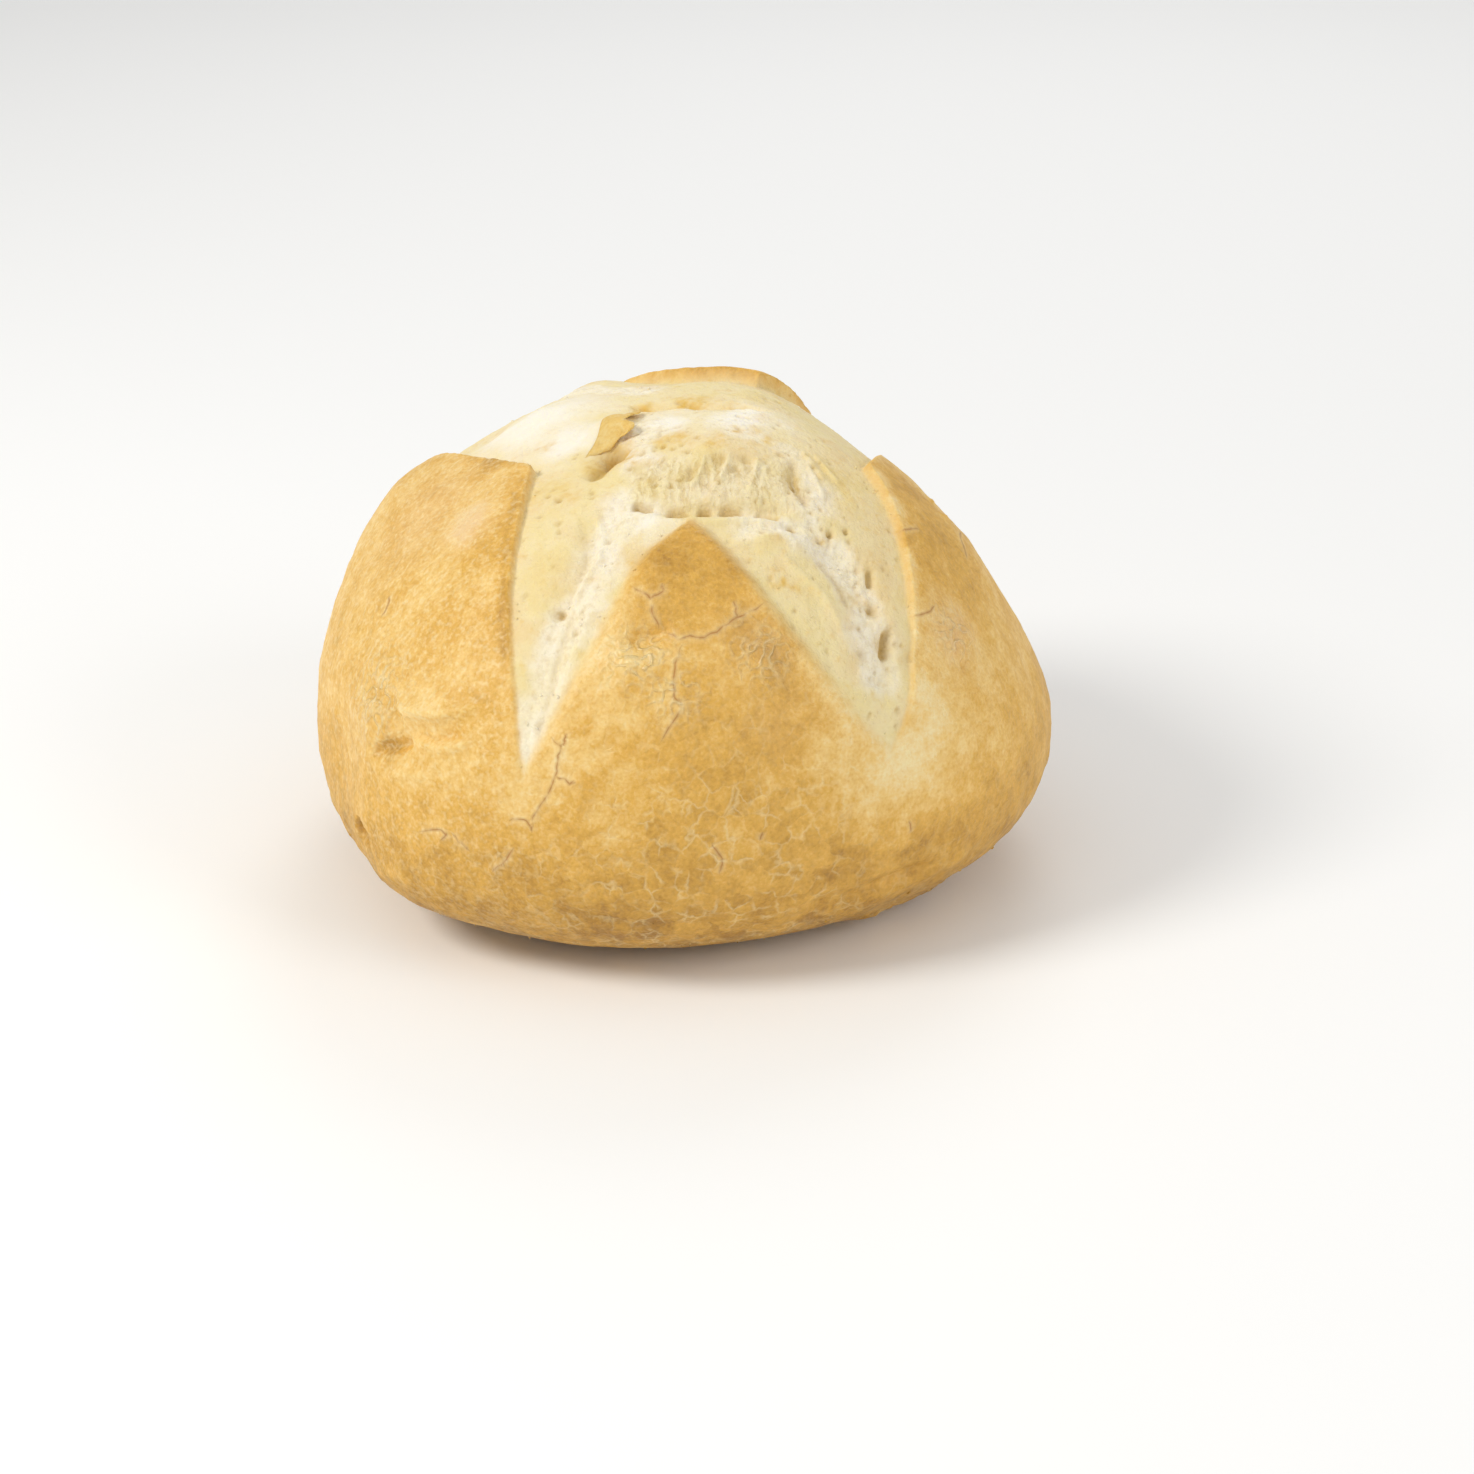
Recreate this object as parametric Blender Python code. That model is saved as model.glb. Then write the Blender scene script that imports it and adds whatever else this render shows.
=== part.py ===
"""Round loaf with a cross cut that opened in the oven, uncut, standing on its flat base. One solid, +Z up, metres.

The crust is one smooth dome. The two crossing cuts leave four pointed lobes of crust round a star of open crumb.
A place on the loaf is written (east, north): the degrees that it leans away from the top, towards +X and +Y.
The front of the loaf faces -Y.
"""

import bmesh
import bpy
import numpy as np
from mathutils import Vector
from mathutils.geometry import delaunay_2d_cdt

# Driving dimensions
BELLY_RADIUS = 0.1113
BELLY_HEIGHT = 0.0458  # where the loaf is widest
DOME_RISE = 0.0957  # from the belly to the top
FOOT_DEPTH = 1.12 * BELLY_HEIGHT  # how far the lower curve would reach if the base did not cut it
TOP_FULLNESS = 2.02  # 2 is an ellipse, more is squarer
FOOT_FULLNESS = 2.75
TOP_SHIFT = (0.021, 0.006)  # the top has slumped this far off the middle of the base
AXIS = (-0.0019, -0.00095)  # the dome's axis, so that the finished loaf is centred on the origin

# How the loaf departs from round: times round it, cosine part, sine part
BELLY_WAVES = ((1, -0.0014, 0.0), (2, 0.0, -0.0017), (3, 0.0034, -0.0007))
FULLNESS_WAVES = ((1, -0.42, -0.06), (2, -0.13, -0.08))

# The cut: where its four arms end, and the tips of the four lobes between them
FRONT_LEFT_END = (-30.8, -73.0)
FRONT_RIGHT_END = (44.0, -66.0)
BACK_RIGHT_END = (40.0, 60.0)
BACK_LEFT_END = (-51.0, 50.0)
LEFT_TIP = (-33.2, -15.4)
FRONT_TIP = (-6.0, -38.6)
RIGHT_TIP = (26.3, -14.3)
BACK_TIP = (4.5, 20.0)

# One edge of a lobe: its tip, the points that it passes through, its arm's end, and in metres how far the crust
# stands proud there, how far the crumb has dropped beside it, and half the width of the step between them
CUT_EDGES = (
    (LEFT_TIP, ((-39.0, -7.0), (-45.6, 6.0), (-50.0, 23.0)), BACK_LEFT_END, 0.0018, 0.0034, 0.0010),
    (LEFT_TIP, ((-33.6, -26.0), (-33.2, -44.0), (-31.4, -60.0)), FRONT_LEFT_END, 0.0014, 0.0016, 0.0008),
    (FRONT_TIP, ((-12.8, -45.0), (-17.0, -55.4), (-24.0, -66.0)), FRONT_LEFT_END, 0.0018, 0.0022, 0.0028),
    (FRONT_TIP, ((4.5, -47.3), (15.4, -55.4), (33.0, -63.8)), FRONT_RIGHT_END, 0.0018, 0.0022, 0.0030),
    (RIGHT_TIP, ((32.5, -23.6), (39.0, -39.0), (45.0, -56.5)), FRONT_RIGHT_END, 0.0010, 0.0024, 0.0009),
    (RIGHT_TIP, ((31.0, -2.0), (37.0, 18.0), (41.0, 40.0)), BACK_RIGHT_END, 0.0012, 0.0028, 0.0011),
    (BACK_TIP, ((12.0, 27.0), (21.0, 37.0), (31.0, 50.0)), BACK_RIGHT_END, 0.0028, 0.0024, 0.0012),
    (BACK_TIP, ((-5.0, 25.0), (-13.0, 34.0), (-27.0, 46.0)), BACK_LEFT_END, 0.0026, 0.0024, 0.0014),
)
PLATE_REACH = 0.030  # how far from the cut the crust still stands proud
END_SHARE = 0.25  # of an edge's height that is left at the arm's end

# Long forms: the places that they run through, half their width and their height, in metres
FOLDS = (
    # torn valley down the left arm, and the one down the right arm
    (((-18.0, -27.0), (-22.5, -42.0), (-26.0, -56.0), (-30.0, -69.0)), 0.0050, -0.0022),
    (((9.0, -37.0), (24.0, -42.0), (33.0, -50.0), (41.0, -62.0)), 0.0060, -0.0024),
    # hollow under the torn mound, and the white fold in front of it
    (((-17.0, -32.0), (-11.0, -34.4), (-4.0, -35.2), (6.0, -35.0), (14.0, -33.0)), 0.0026, -0.0032),
    (((3.0, -40.5), (12.0, -41.0), (21.0, -38.0)), 0.0040, 0.0016),
    # crease behind the mound, at the foot of the back lobe
    (((-21.0, 4.0), (-11.4, 0.6), (-3.0, -2.4), (8.0, -3.0)), 0.0032, -0.0026),
    # rolls and dents low on the left side
    (((-58.0, -50.0), (-50.0, -53.5), (-39.5, -59.0)), 0.0040, 0.0014),
    (((-56.0, -55.5), (-48.0, -58.5), (-41.0, -62.5)), 0.0036, -0.0014),
    # ledge that runs round the foot on the right
    (((29.0, -97.0), (43.8, -91.8), (50.0, -88.3), (60.5, -80.3), (71.3, -70.1)), 0.0034, -0.0030),
)

# Round forms: place, half width and height, in metres
SWELLINGS = (
    ((-3.0, -15.0), 0.021, 0.0022),  # torn mound in the middle
    ((-4.0, -21.5), 0.011, 0.0020),  # its front stands steeper
    ((-32.0, 10.0), 0.018, 0.0030),  # smooth hump in the back left arm
    ((-43.5, 19.0), 0.012, -0.0024),  # hollow between it and the left lobe's back edge
    ((-22.0, -5.5), 0.0055, 0.0036),  # curled flake
    ((-21.5, -16.0), 0.0044, -0.0044),  # pit under it
    ((-56.0, 10.0), 0.024, 0.0041),  # shoulder of the left lobe
    ((55.0, -10.0), 0.016, 0.0018),  # shoulder of the right lobe
    ((-23.5, 28.5), 0.0100, 0.0030),  # knob of crumb beside the back lobe
    ((-10.5, 26.5), 0.0130, -0.0016),  # that lobe dips to its right
    ((-24.0, 47.0), 0.022, -0.0026),  # and that lobe is low on its left
    ((-74.0, -72.0), 0.022, 0.0032),  # the foot spreads on the left, below a flatter side
    ((-79.0, -37.0), 0.018, -0.0034),  # the side is flatter behind it
    ((35.0, -49.0), 0.0065, 0.0016),  # dome beside the large pore
    ((-9.0, -57.8), 0.0050, -0.0018),  # dimple in the front lobe
    ((-55.0, -54.0), 0.0060, -0.0020),  # dent on the left
    ((50.0, 44.0), 0.020, 0.0020),  # the back right shoulder is full
    ((-66.0, 28.0), 0.022, -0.0016),  # and the back left one is flatter
)

# Mesh
GRID = 42  # cells across the whole dome
CROWDING = 1.2  # above 1, cells are smaller near the top
HALF_CELL_REACH = 0.008  # cells are halved from this far outside the cut
QUARTER_CELL_REACH = 0.004  # and halved again this near its rim, and round small forms
SMALL_FORM = 0.008  # widest half width of a form that gets the smallest cells
ROW_SPACING = 0.0014  # least gap between the points of a row along the rim
ROW_CLEARANCE = 0.0011  # the grid keeps this far from those rows
CURVE_STEPS = 8  # straight runs between two points of a curve
BASE_SHRINK = 0.72  # each ring of the base against the one outside it

CRUST_COLOUR = (0.72, 0.41, 0.13, 1.0)
CRUMB_COLOUR = (0.86, 0.75, 0.50, 1.0)
BREAD_ROUGHNESS = 0.6


def wave(turn, terms):
    """How far the loaf is from round at this turn, as the sum of the given waves."""
    return sum(cosine * np.cos(times * turn) + sine * np.sin(times * turn) for times, cosine, sine in terms)


def foot_lean(turn):
    """The lean, in degrees, at which the dome meets the table."""
    share = (1.0 - (BELLY_HEIGHT / FOOT_DEPTH) ** FOOT_FULLNESS) ** (1.0 / FOOT_FULLNESS)
    foot_radius = share * (BELLY_RADIUS + wave(turn, BELLY_WAVES))
    return 90.0 + np.degrees(np.arctan2(BELLY_HEIGHT, foot_radius))


def skin(places):
    """Points of the smooth dome at the given (east, north) places."""
    east, north = np.asarray(places, float).T
    turn = np.arctan2(north, east)
    lean = np.radians(np.minimum(np.hypot(east, north), foot_lean(turn)))
    across = np.sin(lean)
    up = np.cos(lean)
    above = up > 0.0
    radius = BELLY_RADIUS + wave(turn, BELLY_WAVES)
    fullness = np.where(above, TOP_FULLNESS + wave(turn, FULLNESS_WAVES), FOOT_FULLNESS)
    tall = np.where(above, DOME_RISE, FOOT_DEPTH)
    reach = ((across / radius) ** fullness + (np.abs(up) / tall) ** fullness) ** (-1.0 / fullness)
    slump = np.where(above, reach * up / DOME_RISE, 0.0) ** 2
    return np.column_stack(
        (
            AXIS[0] + reach * across * np.cos(turn) + TOP_SHIFT[0] * slump,
            AXIS[1] + reach * across * np.sin(turn) + TOP_SHIFT[1] * slump,
            BELLY_HEIGHT + reach * up,
        )
    )


def outward(places):
    """Directions straight out of the smooth dome at the given places."""
    nudge = 0.05
    places = np.asarray(places, float)
    east = skin(places + (nudge, 0.0)) - skin(places - (nudge, 0.0))
    north = skin(places + (0.0, nudge)) - skin(places - (0.0, nudge))
    normal = np.cross(east, north)
    return normal / np.maximum(np.linalg.norm(normal, axis=1, keepdims=True), 1e-12)


def curve(points):
    """A smooth curve through the given places, as short straight runs."""
    points = np.asarray(points, float)
    padded = np.vstack((2 * points[0] - points[1], points, 2 * points[-1] - points[-2]))
    share = np.linspace(0.0, 1.0, CURVE_STEPS, endpoint=False)[:, None]
    runs = []
    for before, start, end, after in zip(padded, padded[1:], padded[2:], padded[3:]):
        pull_out = 0.5 * (end - before)
        pull_in = 0.5 * (after - start)
        runs.append(
            (2 * share**3 - 3 * share**2 + 1) * start
            + (share**3 - 2 * share**2 + share) * pull_out
            + (3 * share**2 - 2 * share**3) * end
            + (share**3 - share**2) * pull_in
        )
    return np.vstack(runs + [points[-1:]])


def nearest(points, path):
    """For each point, its distance from the path, and how far along the path its nearest spot is, from 0 to 1."""
    runs = np.linalg.norm(np.diff(path, axis=0), axis=1)
    starts = np.concatenate(([0.0], np.cumsum(runs)))
    best = np.full(len(points), np.inf)
    along = np.zeros(len(points))
    for index, (start, end) in enumerate(zip(path, path[1:])):
        step = end - start
        share = np.clip((points - start) @ step / (step @ step), 0.0, 1.0)
        gap = np.linalg.norm(points - start - share[:, None] * step, axis=1)
        closer = gap < best
        best = np.where(closer, gap, best)
        along = np.where(closer, (starts[index] + share * runs[index]) / starts[-1], along)
    return best, along


def star():
    """The outline of the cut as a closed run of places, anticlockwise from the front left arm."""
    outline = []
    for number in (2, 3, 4, 5, 6, 7, 0, 1):
        tip, between, end = CUT_EDGES[number][:3]
        edge = curve((tip, *between, end))
        outwards = number in (3, 5, 7, 1)
        outline.extend(edge[:-1] if outwards else edge[:0:-1])
    return np.array(outline)


def inside(places, outline):
    """Whether each place lies inside the closed outline."""
    east, north = places.T
    found = np.zeros(len(places), bool)
    for (east_1, north_1), (east_2, north_2) in zip(outline, np.roll(outline, -1, axis=0)):
        if north_1 == north_2:
            continue
        spans = (north_1 > north) != (north_2 > north)
        crossing = east_1 + (north - north_1) * (east_2 - east_1) / (north_2 - north_1)
        found ^= spans & (east < crossing)
    return found


def smooth_step(value):
    value = np.clip(value, 0.0, 1.0)
    return value * value * (3.0 - 2.0 * value)


def cut_gap(places, points):
    """Distance from the rim of the cut, positive on the crust and negative on the crumb."""
    outline = star()
    rim = skin(np.vstack((outline, outline[:1])))
    gap, _ = nearest(points, rim)
    return np.where(inside(places, outline), -gap, gap)


def rim_sizes(points):
    """How far the crust stands proud, how far the crumb drops and half the step, blended from the nearest edges."""
    sizes = np.zeros((len(points), 3))
    total = np.zeros((len(points), 1))
    for tip, between, end, proud, drop, half_step in CUT_EDGES:
        away, along = nearest(points, skin(curve((tip, *between, end))))
        weight = ((away + 0.001) ** -3.0)[:, None]
        fading = 1.0 - (1.0 - END_SHARE) * smooth_step(along)
        sizes += weight * np.column_stack((proud * fading, drop * fading, np.full(len(points), half_step)))
        total += weight
    return (sizes / total).T


def cut_relief(places, points):
    """Height of the cut: proud plates of crust, dropped crumb, and the step from one to the other."""
    gap = cut_gap(places, points)
    proud, drop, half_step = rim_sizes(points)
    proud = proud * np.exp(-((np.maximum(gap, 0.0) / PLATE_REACH) ** 2))
    share = smooth_step(0.5 + 0.5 * gap / half_step)
    return share * proud - (1.0 - share) * drop


def form_relief(points):
    """Height of the folds, mounds, dimples and pits, and whether each point is on a small one."""
    height = np.zeros(len(points))
    small = np.zeros(len(points), bool)
    for through, half_width, rise in FOLDS:
        away, along = nearest(points, skin(curve(through)))
        ends = smooth_step(4.0 * along) * smooth_step(4.0 * (1.0 - along))
        height += rise * ends * np.exp(-((away / half_width) ** 2))
        small |= (away < 1.4 * half_width) & (ends > 0.1)
    for place, half_width, rise in SWELLINGS:
        away = np.linalg.norm(points - skin([place]), axis=1)
        height += rise * np.exp(-((away / half_width) ** 2))
        small |= (away < 1.4 * half_width) & (half_width < SMALL_FORM)
    return height, small


def loaf_points(places):
    """The finished surface at the given places."""
    points = skin(places)
    height = cut_relief(places, points) + form_relief(points)[0]
    above_table = smooth_step(points[:, 2] / (0.5 * BELLY_HEIGHT))
    moved = points + (height * above_table)[:, None] * outward(places)
    moved[:, 2] = np.maximum(moved[:, 2], 0.0)
    return moved


def square_to_places(corner_u, corner_v):
    """Places for a square of points from -1 to 1: the square's border becomes the loaf's foot."""
    share = np.maximum(np.abs(corner_u), np.abs(corner_v))
    wide = np.abs(corner_u) >= np.abs(corner_v)
    slant = np.where(wide, corner_v, corner_u) / np.maximum(share, 1e-12)
    signed = np.sign(np.where(wide, corner_u, corner_v))
    quarter = signed * slant * np.pi / 4
    turn = np.where(wide, np.where(corner_u >= 0, quarter, np.pi + quarter), signed * np.pi / 2 - quarter)
    lean = foot_lean(turn) * share**CROWDING
    return np.column_stack((lean * np.cos(turn), lean * np.sin(turn)))


def lattice():
    """Places on a square grid of quarter cells, the column and row of each, and which lie on the border, in order."""
    line = np.linspace(-1.0, 1.0, 4 * GRID + 1)
    across, up = (side.ravel() for side in np.meshgrid(line, line))
    column, row = (side.ravel() for side in np.meshgrid(range(len(line)), range(len(line))))
    places = square_to_places(across, up)
    outermost = np.maximum(np.abs(across), np.abs(up)) > 1.0 - 1e-9
    border = np.flatnonzero(outermost & (column % 4 == 0) & (row % 4 == 0))
    turn = np.arctan2(places[border, 1], places[border, 0])
    return places, column, row, border[np.argsort(turn)]


def contour(places, steps, level):
    """Places where the grid's lines cross a level of the cut, counted in half steps from its rim."""
    side = 4 * GRID + 1
    number = np.arange(side * side).reshape(side, side)
    pairs = (
        (number[:, :-1], number[:, 1:]),
        (number[:-1], number[1:]),
        (number[:-1, :-1], number[1:, 1:]),
        (number[:-1, 1:], number[1:, :-1]),
    )
    found = []
    for first, second in pairs:
        first, second = first.ravel(), second.ravel()
        crossed = (steps[first] - level) * (steps[second] - level) < 0.0
        first, second = first[crossed], second[crossed]
        share = ((level - steps[first]) / (steps[second] - steps[first]))[:, None]
        found.append(places[first] + share * (places[second] - places[first]))
    return np.vstack(found)


def spaced(places, least):
    """The places in their order along the rim, without those nearer than this to one that is kept."""
    outline = star()
    _, along = nearest(skin(places), skin(np.vstack((outline, outline[:1]))))
    places = places[np.argsort(along)]
    points = skin(places)
    kept = []
    for index, point in enumerate(points):
        if not kept or np.linalg.norm(points[kept] - point, axis=1).min() > least:
            kept.append(index)
    return places[kept]


def mesh_places():
    """Places for all points of the dome, the border's first: rows along both sides of the rim, a grid elsewhere."""
    places, column, row, border = lattice()
    points = skin(places)
    gap = cut_gap(places, points)
    half_step = rim_sizes(points)[2]
    rows = [spaced(contour(places, gap / half_step, level), ROW_SPACING) for level in (1.0, -1.0)]
    wanted = (column % 4 == 0) & (row % 4 == 0)
    wanted |= (column % 2 == 0) & (row % 2 == 0) & (gap < HALF_CELL_REACH)
    wanted |= (np.abs(gap) < QUARTER_CELL_REACH) | form_relief(points)[1]
    wanted &= np.abs(gap) > half_step + ROW_CLEARANCE
    wanted[border] = False
    return np.vstack([places[border], places[wanted], *rows]), len(border)


def dome_mesh(mesh):
    """The dome, as triangles between places laid flat. Returns the points on its border."""
    places, border_count = mesh_places()
    flat = [Vector(place) for place in places / 90.0]
    border = list(range(border_count))
    triangles_inside = 1
    found, _, faces, *_ = delaunay_2d_cdt(flat, [], [border], triangles_inside, 1e-6)
    places = np.array(found) * 90.0
    verts = [mesh.verts.new(point) for point in loaf_points(places)]
    in_cut = inside(places, star())
    for face in faces:
        mesh.faces.new([verts[index] for index in face]).material_index = int(in_cut[face].all())
    return [vert for vert in verts if any(edge.is_boundary for edge in vert.link_edges)]


def base_mesh(mesh, border):
    """The flat base: rings with half as many points each time, and one small face in the middle."""
    middle = np.mean([vertex.co for vertex in border], axis=0)
    middle[2] = 0.0
    outer = sorted(border, key=lambda vertex: np.arctan2(vertex.co.y - middle[1], vertex.co.x - middle[0]))
    while len(outer) % 2 == 0 and len(outer) > 12:
        inner = []
        for vertex in outer[::2]:
            vertex.co.z = 0.0
            inner.append(mesh.verts.new(middle + BASE_SHRINK * (np.array(vertex.co) - middle)))
        for index, vertex in enumerate(inner):
            after = inner[(index + 1) % len(inner)]
            first, second, third = (outer[(2 * index + step) % len(outer)] for step in range(3))
            mesh.faces.new((second, first, vertex))
            mesh.faces.new((second, vertex, after))
            mesh.faces.new((third, second, after))
        outer = inner
    mesh.faces.new(outer[::-1])


def bread_material(name, colour):
    material = bpy.data.materials.new(name)
    material.use_nodes = True
    shader = material.node_tree.nodes["Principled BSDF"]
    shader.inputs["Base Color"].default_value = colour
    shader.inputs["Roughness"].default_value = BREAD_ROUGHNESS
    shader.inputs["Metallic"].default_value = 0.0
    return material


def build_loaf():
    mesh = bmesh.new()
    border = dome_mesh(mesh)
    for vertex in border:
        vertex.co.z = 0.0
    base_mesh(mesh, border)
    bmesh.ops.recalc_face_normals(mesh, faces=mesh.faces)
    data = bpy.data.meshes.new("loaf")
    mesh.to_mesh(data)
    mesh.free()
    data.shade_smooth()
    loaf = bpy.data.objects.new("loaf", data)
    bpy.context.scene.collection.objects.link(loaf)
    data.materials.append(bread_material("crust", CRUST_COLOUR))
    data.materials.append(bread_material("crumb", CRUMB_COLOUR))
    return loaf


for old in list(bpy.data.objects):
    bpy.data.objects.remove(old, do_unlink=True)
build_loaf()
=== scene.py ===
"""Looks of a round crusty loaf, whose cross cut opened into four lobes of crust round pale torn crumb.

The loaf is one closed skin: a dome, the step from crust to crumb along the rim of the cut, and then folds,
pores, cracks and torn crumb, each finer than the last. Its main shapes repeat the values of the solid.
A place on the loaf is written (east, north): the degrees that it leans away from the top, towards +X and
+Y. The front of the loaf faces -Y. Sizes are in metres.
"""

import math

import bmesh
import bpy
import numpy as np
from mathutils import Matrix, Vector
from mathutils.geometry import delaunay_2d_cdt


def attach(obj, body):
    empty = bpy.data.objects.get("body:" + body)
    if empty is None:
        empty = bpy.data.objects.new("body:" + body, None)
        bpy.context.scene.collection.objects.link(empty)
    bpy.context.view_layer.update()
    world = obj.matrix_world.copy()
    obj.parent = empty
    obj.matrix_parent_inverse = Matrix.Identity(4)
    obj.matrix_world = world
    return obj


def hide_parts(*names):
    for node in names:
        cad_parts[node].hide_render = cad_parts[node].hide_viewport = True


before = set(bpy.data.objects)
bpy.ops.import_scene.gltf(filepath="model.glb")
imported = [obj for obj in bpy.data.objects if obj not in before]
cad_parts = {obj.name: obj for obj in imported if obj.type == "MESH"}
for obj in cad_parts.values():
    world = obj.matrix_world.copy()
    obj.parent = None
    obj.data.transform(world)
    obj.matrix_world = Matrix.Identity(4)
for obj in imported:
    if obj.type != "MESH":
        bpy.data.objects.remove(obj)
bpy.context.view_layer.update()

# The dome, as in the loaf's solid
BELLY_RADIUS = 0.1113
BELLY_HEIGHT = 0.0458
DOME_RISE = 0.0957
FOOT_DEPTH = 1.12 * BELLY_HEIGHT
TOP_FULLNESS = 2.02
FOOT_FULLNESS = 2.75
TOP_SHIFT = (0.021, 0.006)
AXIS = (-0.0019, -0.00095)
BELLY_WAVES = ((1, -0.0014, 0.0), (2, 0.0, -0.0017), (3, 0.0034, -0.0007))
FULLNESS_WAVES = ((1, -0.42, -0.06), (2, -0.13, -0.08))

# The cut, as in the loaf's solid
FRONT_LEFT_END = (-30.8, -73.0)
FRONT_RIGHT_END = (44, -66)
BACK_RIGHT_END = (40, 60)
BACK_LEFT_END = (-51, 50)
LEFT_TIP = (-33.2, -15.4)
FRONT_TIP = (-6.0, -38.6)
RIGHT_TIP = (26.3, -14.3)
BACK_TIP = (4.5, 20.0)

# One edge of a lobe: its tip, the points it passes, its arm's end, how far the crust stands proud, how far
# the crumb has dropped, half the width of the step between them, and how far the crust's lip hangs over
CUT_EDGES = (
    (LEFT_TIP, ((-39, -7), (-45.6, 6.0), (-50, 23)), BACK_LEFT_END, 0.0018, 0.0034, 0.0010, 0.0004),
    (LEFT_TIP, ((-33.6, -26), (-33.2, -44), (-31.4, -60)), FRONT_LEFT_END, 0.0014, 0.0016, 0.0008, 0.0004),
    (FRONT_TIP, ((-12.8, -45.0), (-17.0, -55.4), (-24, -66)), FRONT_LEFT_END, 0.0018, 0.0022, 0.0028, 0.0),
    (FRONT_TIP, ((4.5, -47.3), (15.4, -55.4), (33.0, -63.8)), FRONT_RIGHT_END, 0.0018, 0.0022, 0.0030, 0.0),
    (RIGHT_TIP, ((32.5, -23.6), (39, -39), (45.0, -56.5)), FRONT_RIGHT_END, 0.0010, 0.0024, 0.0009, 0.0002),
    (RIGHT_TIP, ((31, -2), (37, 18), (41, 40)), BACK_RIGHT_END, 0.0012, 0.0028, 0.0011, 0.0006),
    (BACK_TIP, ((12, 27), (21, 37), (31, 50)), BACK_RIGHT_END, 0.0028, 0.0024, 0.0012, 0.0004),
    (BACK_TIP, ((-5, 25), (-13, 34), (-27, 46)), BACK_LEFT_END, 0.0026, 0.0024, 0.0014, 0.0004),
)
PLATE_REACH = 0.030
END_SHARE = 0.25
RIM_RAGGED = 0.00035  # how far the torn rim strays from its curve

# Long forms: the places they run through, half their width and their height
FOLDS = (
    (((-18, -27), (-22.5, -42.0), (-26, -56), (-30, -69)), 0.0050, -0.0022),
    (((9, -37), (24, -42), (33, -50), (41, -62)), 0.0060, -0.0024),
    (((-17, -32), (-11.0, -34.4), (-4.0, -35.2), (6, -35), (14, -33)), 0.0026, -0.0032),
    (((3.0, -40.5), (12, -41), (21, -38)), 0.0040, 0.0016),
    (((-21, 4), (-11.4, 0.6), (-3.0, -2.4), (8, -3)), 0.0032, -0.0026),
    (((-58, -50), (-50.0, -53.5), (-39.5, -59.0)), 0.0040, 0.0014),
    (((-56.0, -55.5), (-48.0, -58.5), (-41.0, -62.5)), 0.0036, -0.0014),
    (((29, -97), (43.8, -91.8), (50.0, -88.3), (60.5, -80.3), (71.3, -70.1)), 0.0034, -0.0030),
)
SWELLINGS = (
    ((-3, -15), 0.021, 0.0022),
    ((-4.0, -21.5), 0.011, 0.0020),
    ((-32, 10), 0.018, 0.0030),
    ((-43.5, 19.0), 0.012, -0.0024),
    ((-22.0, -5.5), 0.0055, 0.0036),
    ((-21.5, -16.0), 0.0044, -0.0044),
    ((-56, 10), 0.024, 0.0041),
    ((55, -10), 0.016, 0.0018),
    ((-23.5, 28.5), 0.0100, 0.0030),
    ((-10.5, 26.5), 0.0130, -0.0016),
    ((-24, 47), 0.022, -0.0026),
    ((-74, -72), 0.022, 0.0032),
    ((-79, -37), 0.018, -0.0034),
    ((35, -49), 0.0065, 0.0016),
    ((-9.0, -57.8), 0.0050, -0.0018),
    ((-55, -54), 0.0060, -0.0020),
    ((50, 44), 0.020, 0.0020),
    ((-66, 28), 0.022, -0.0016),
)

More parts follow.
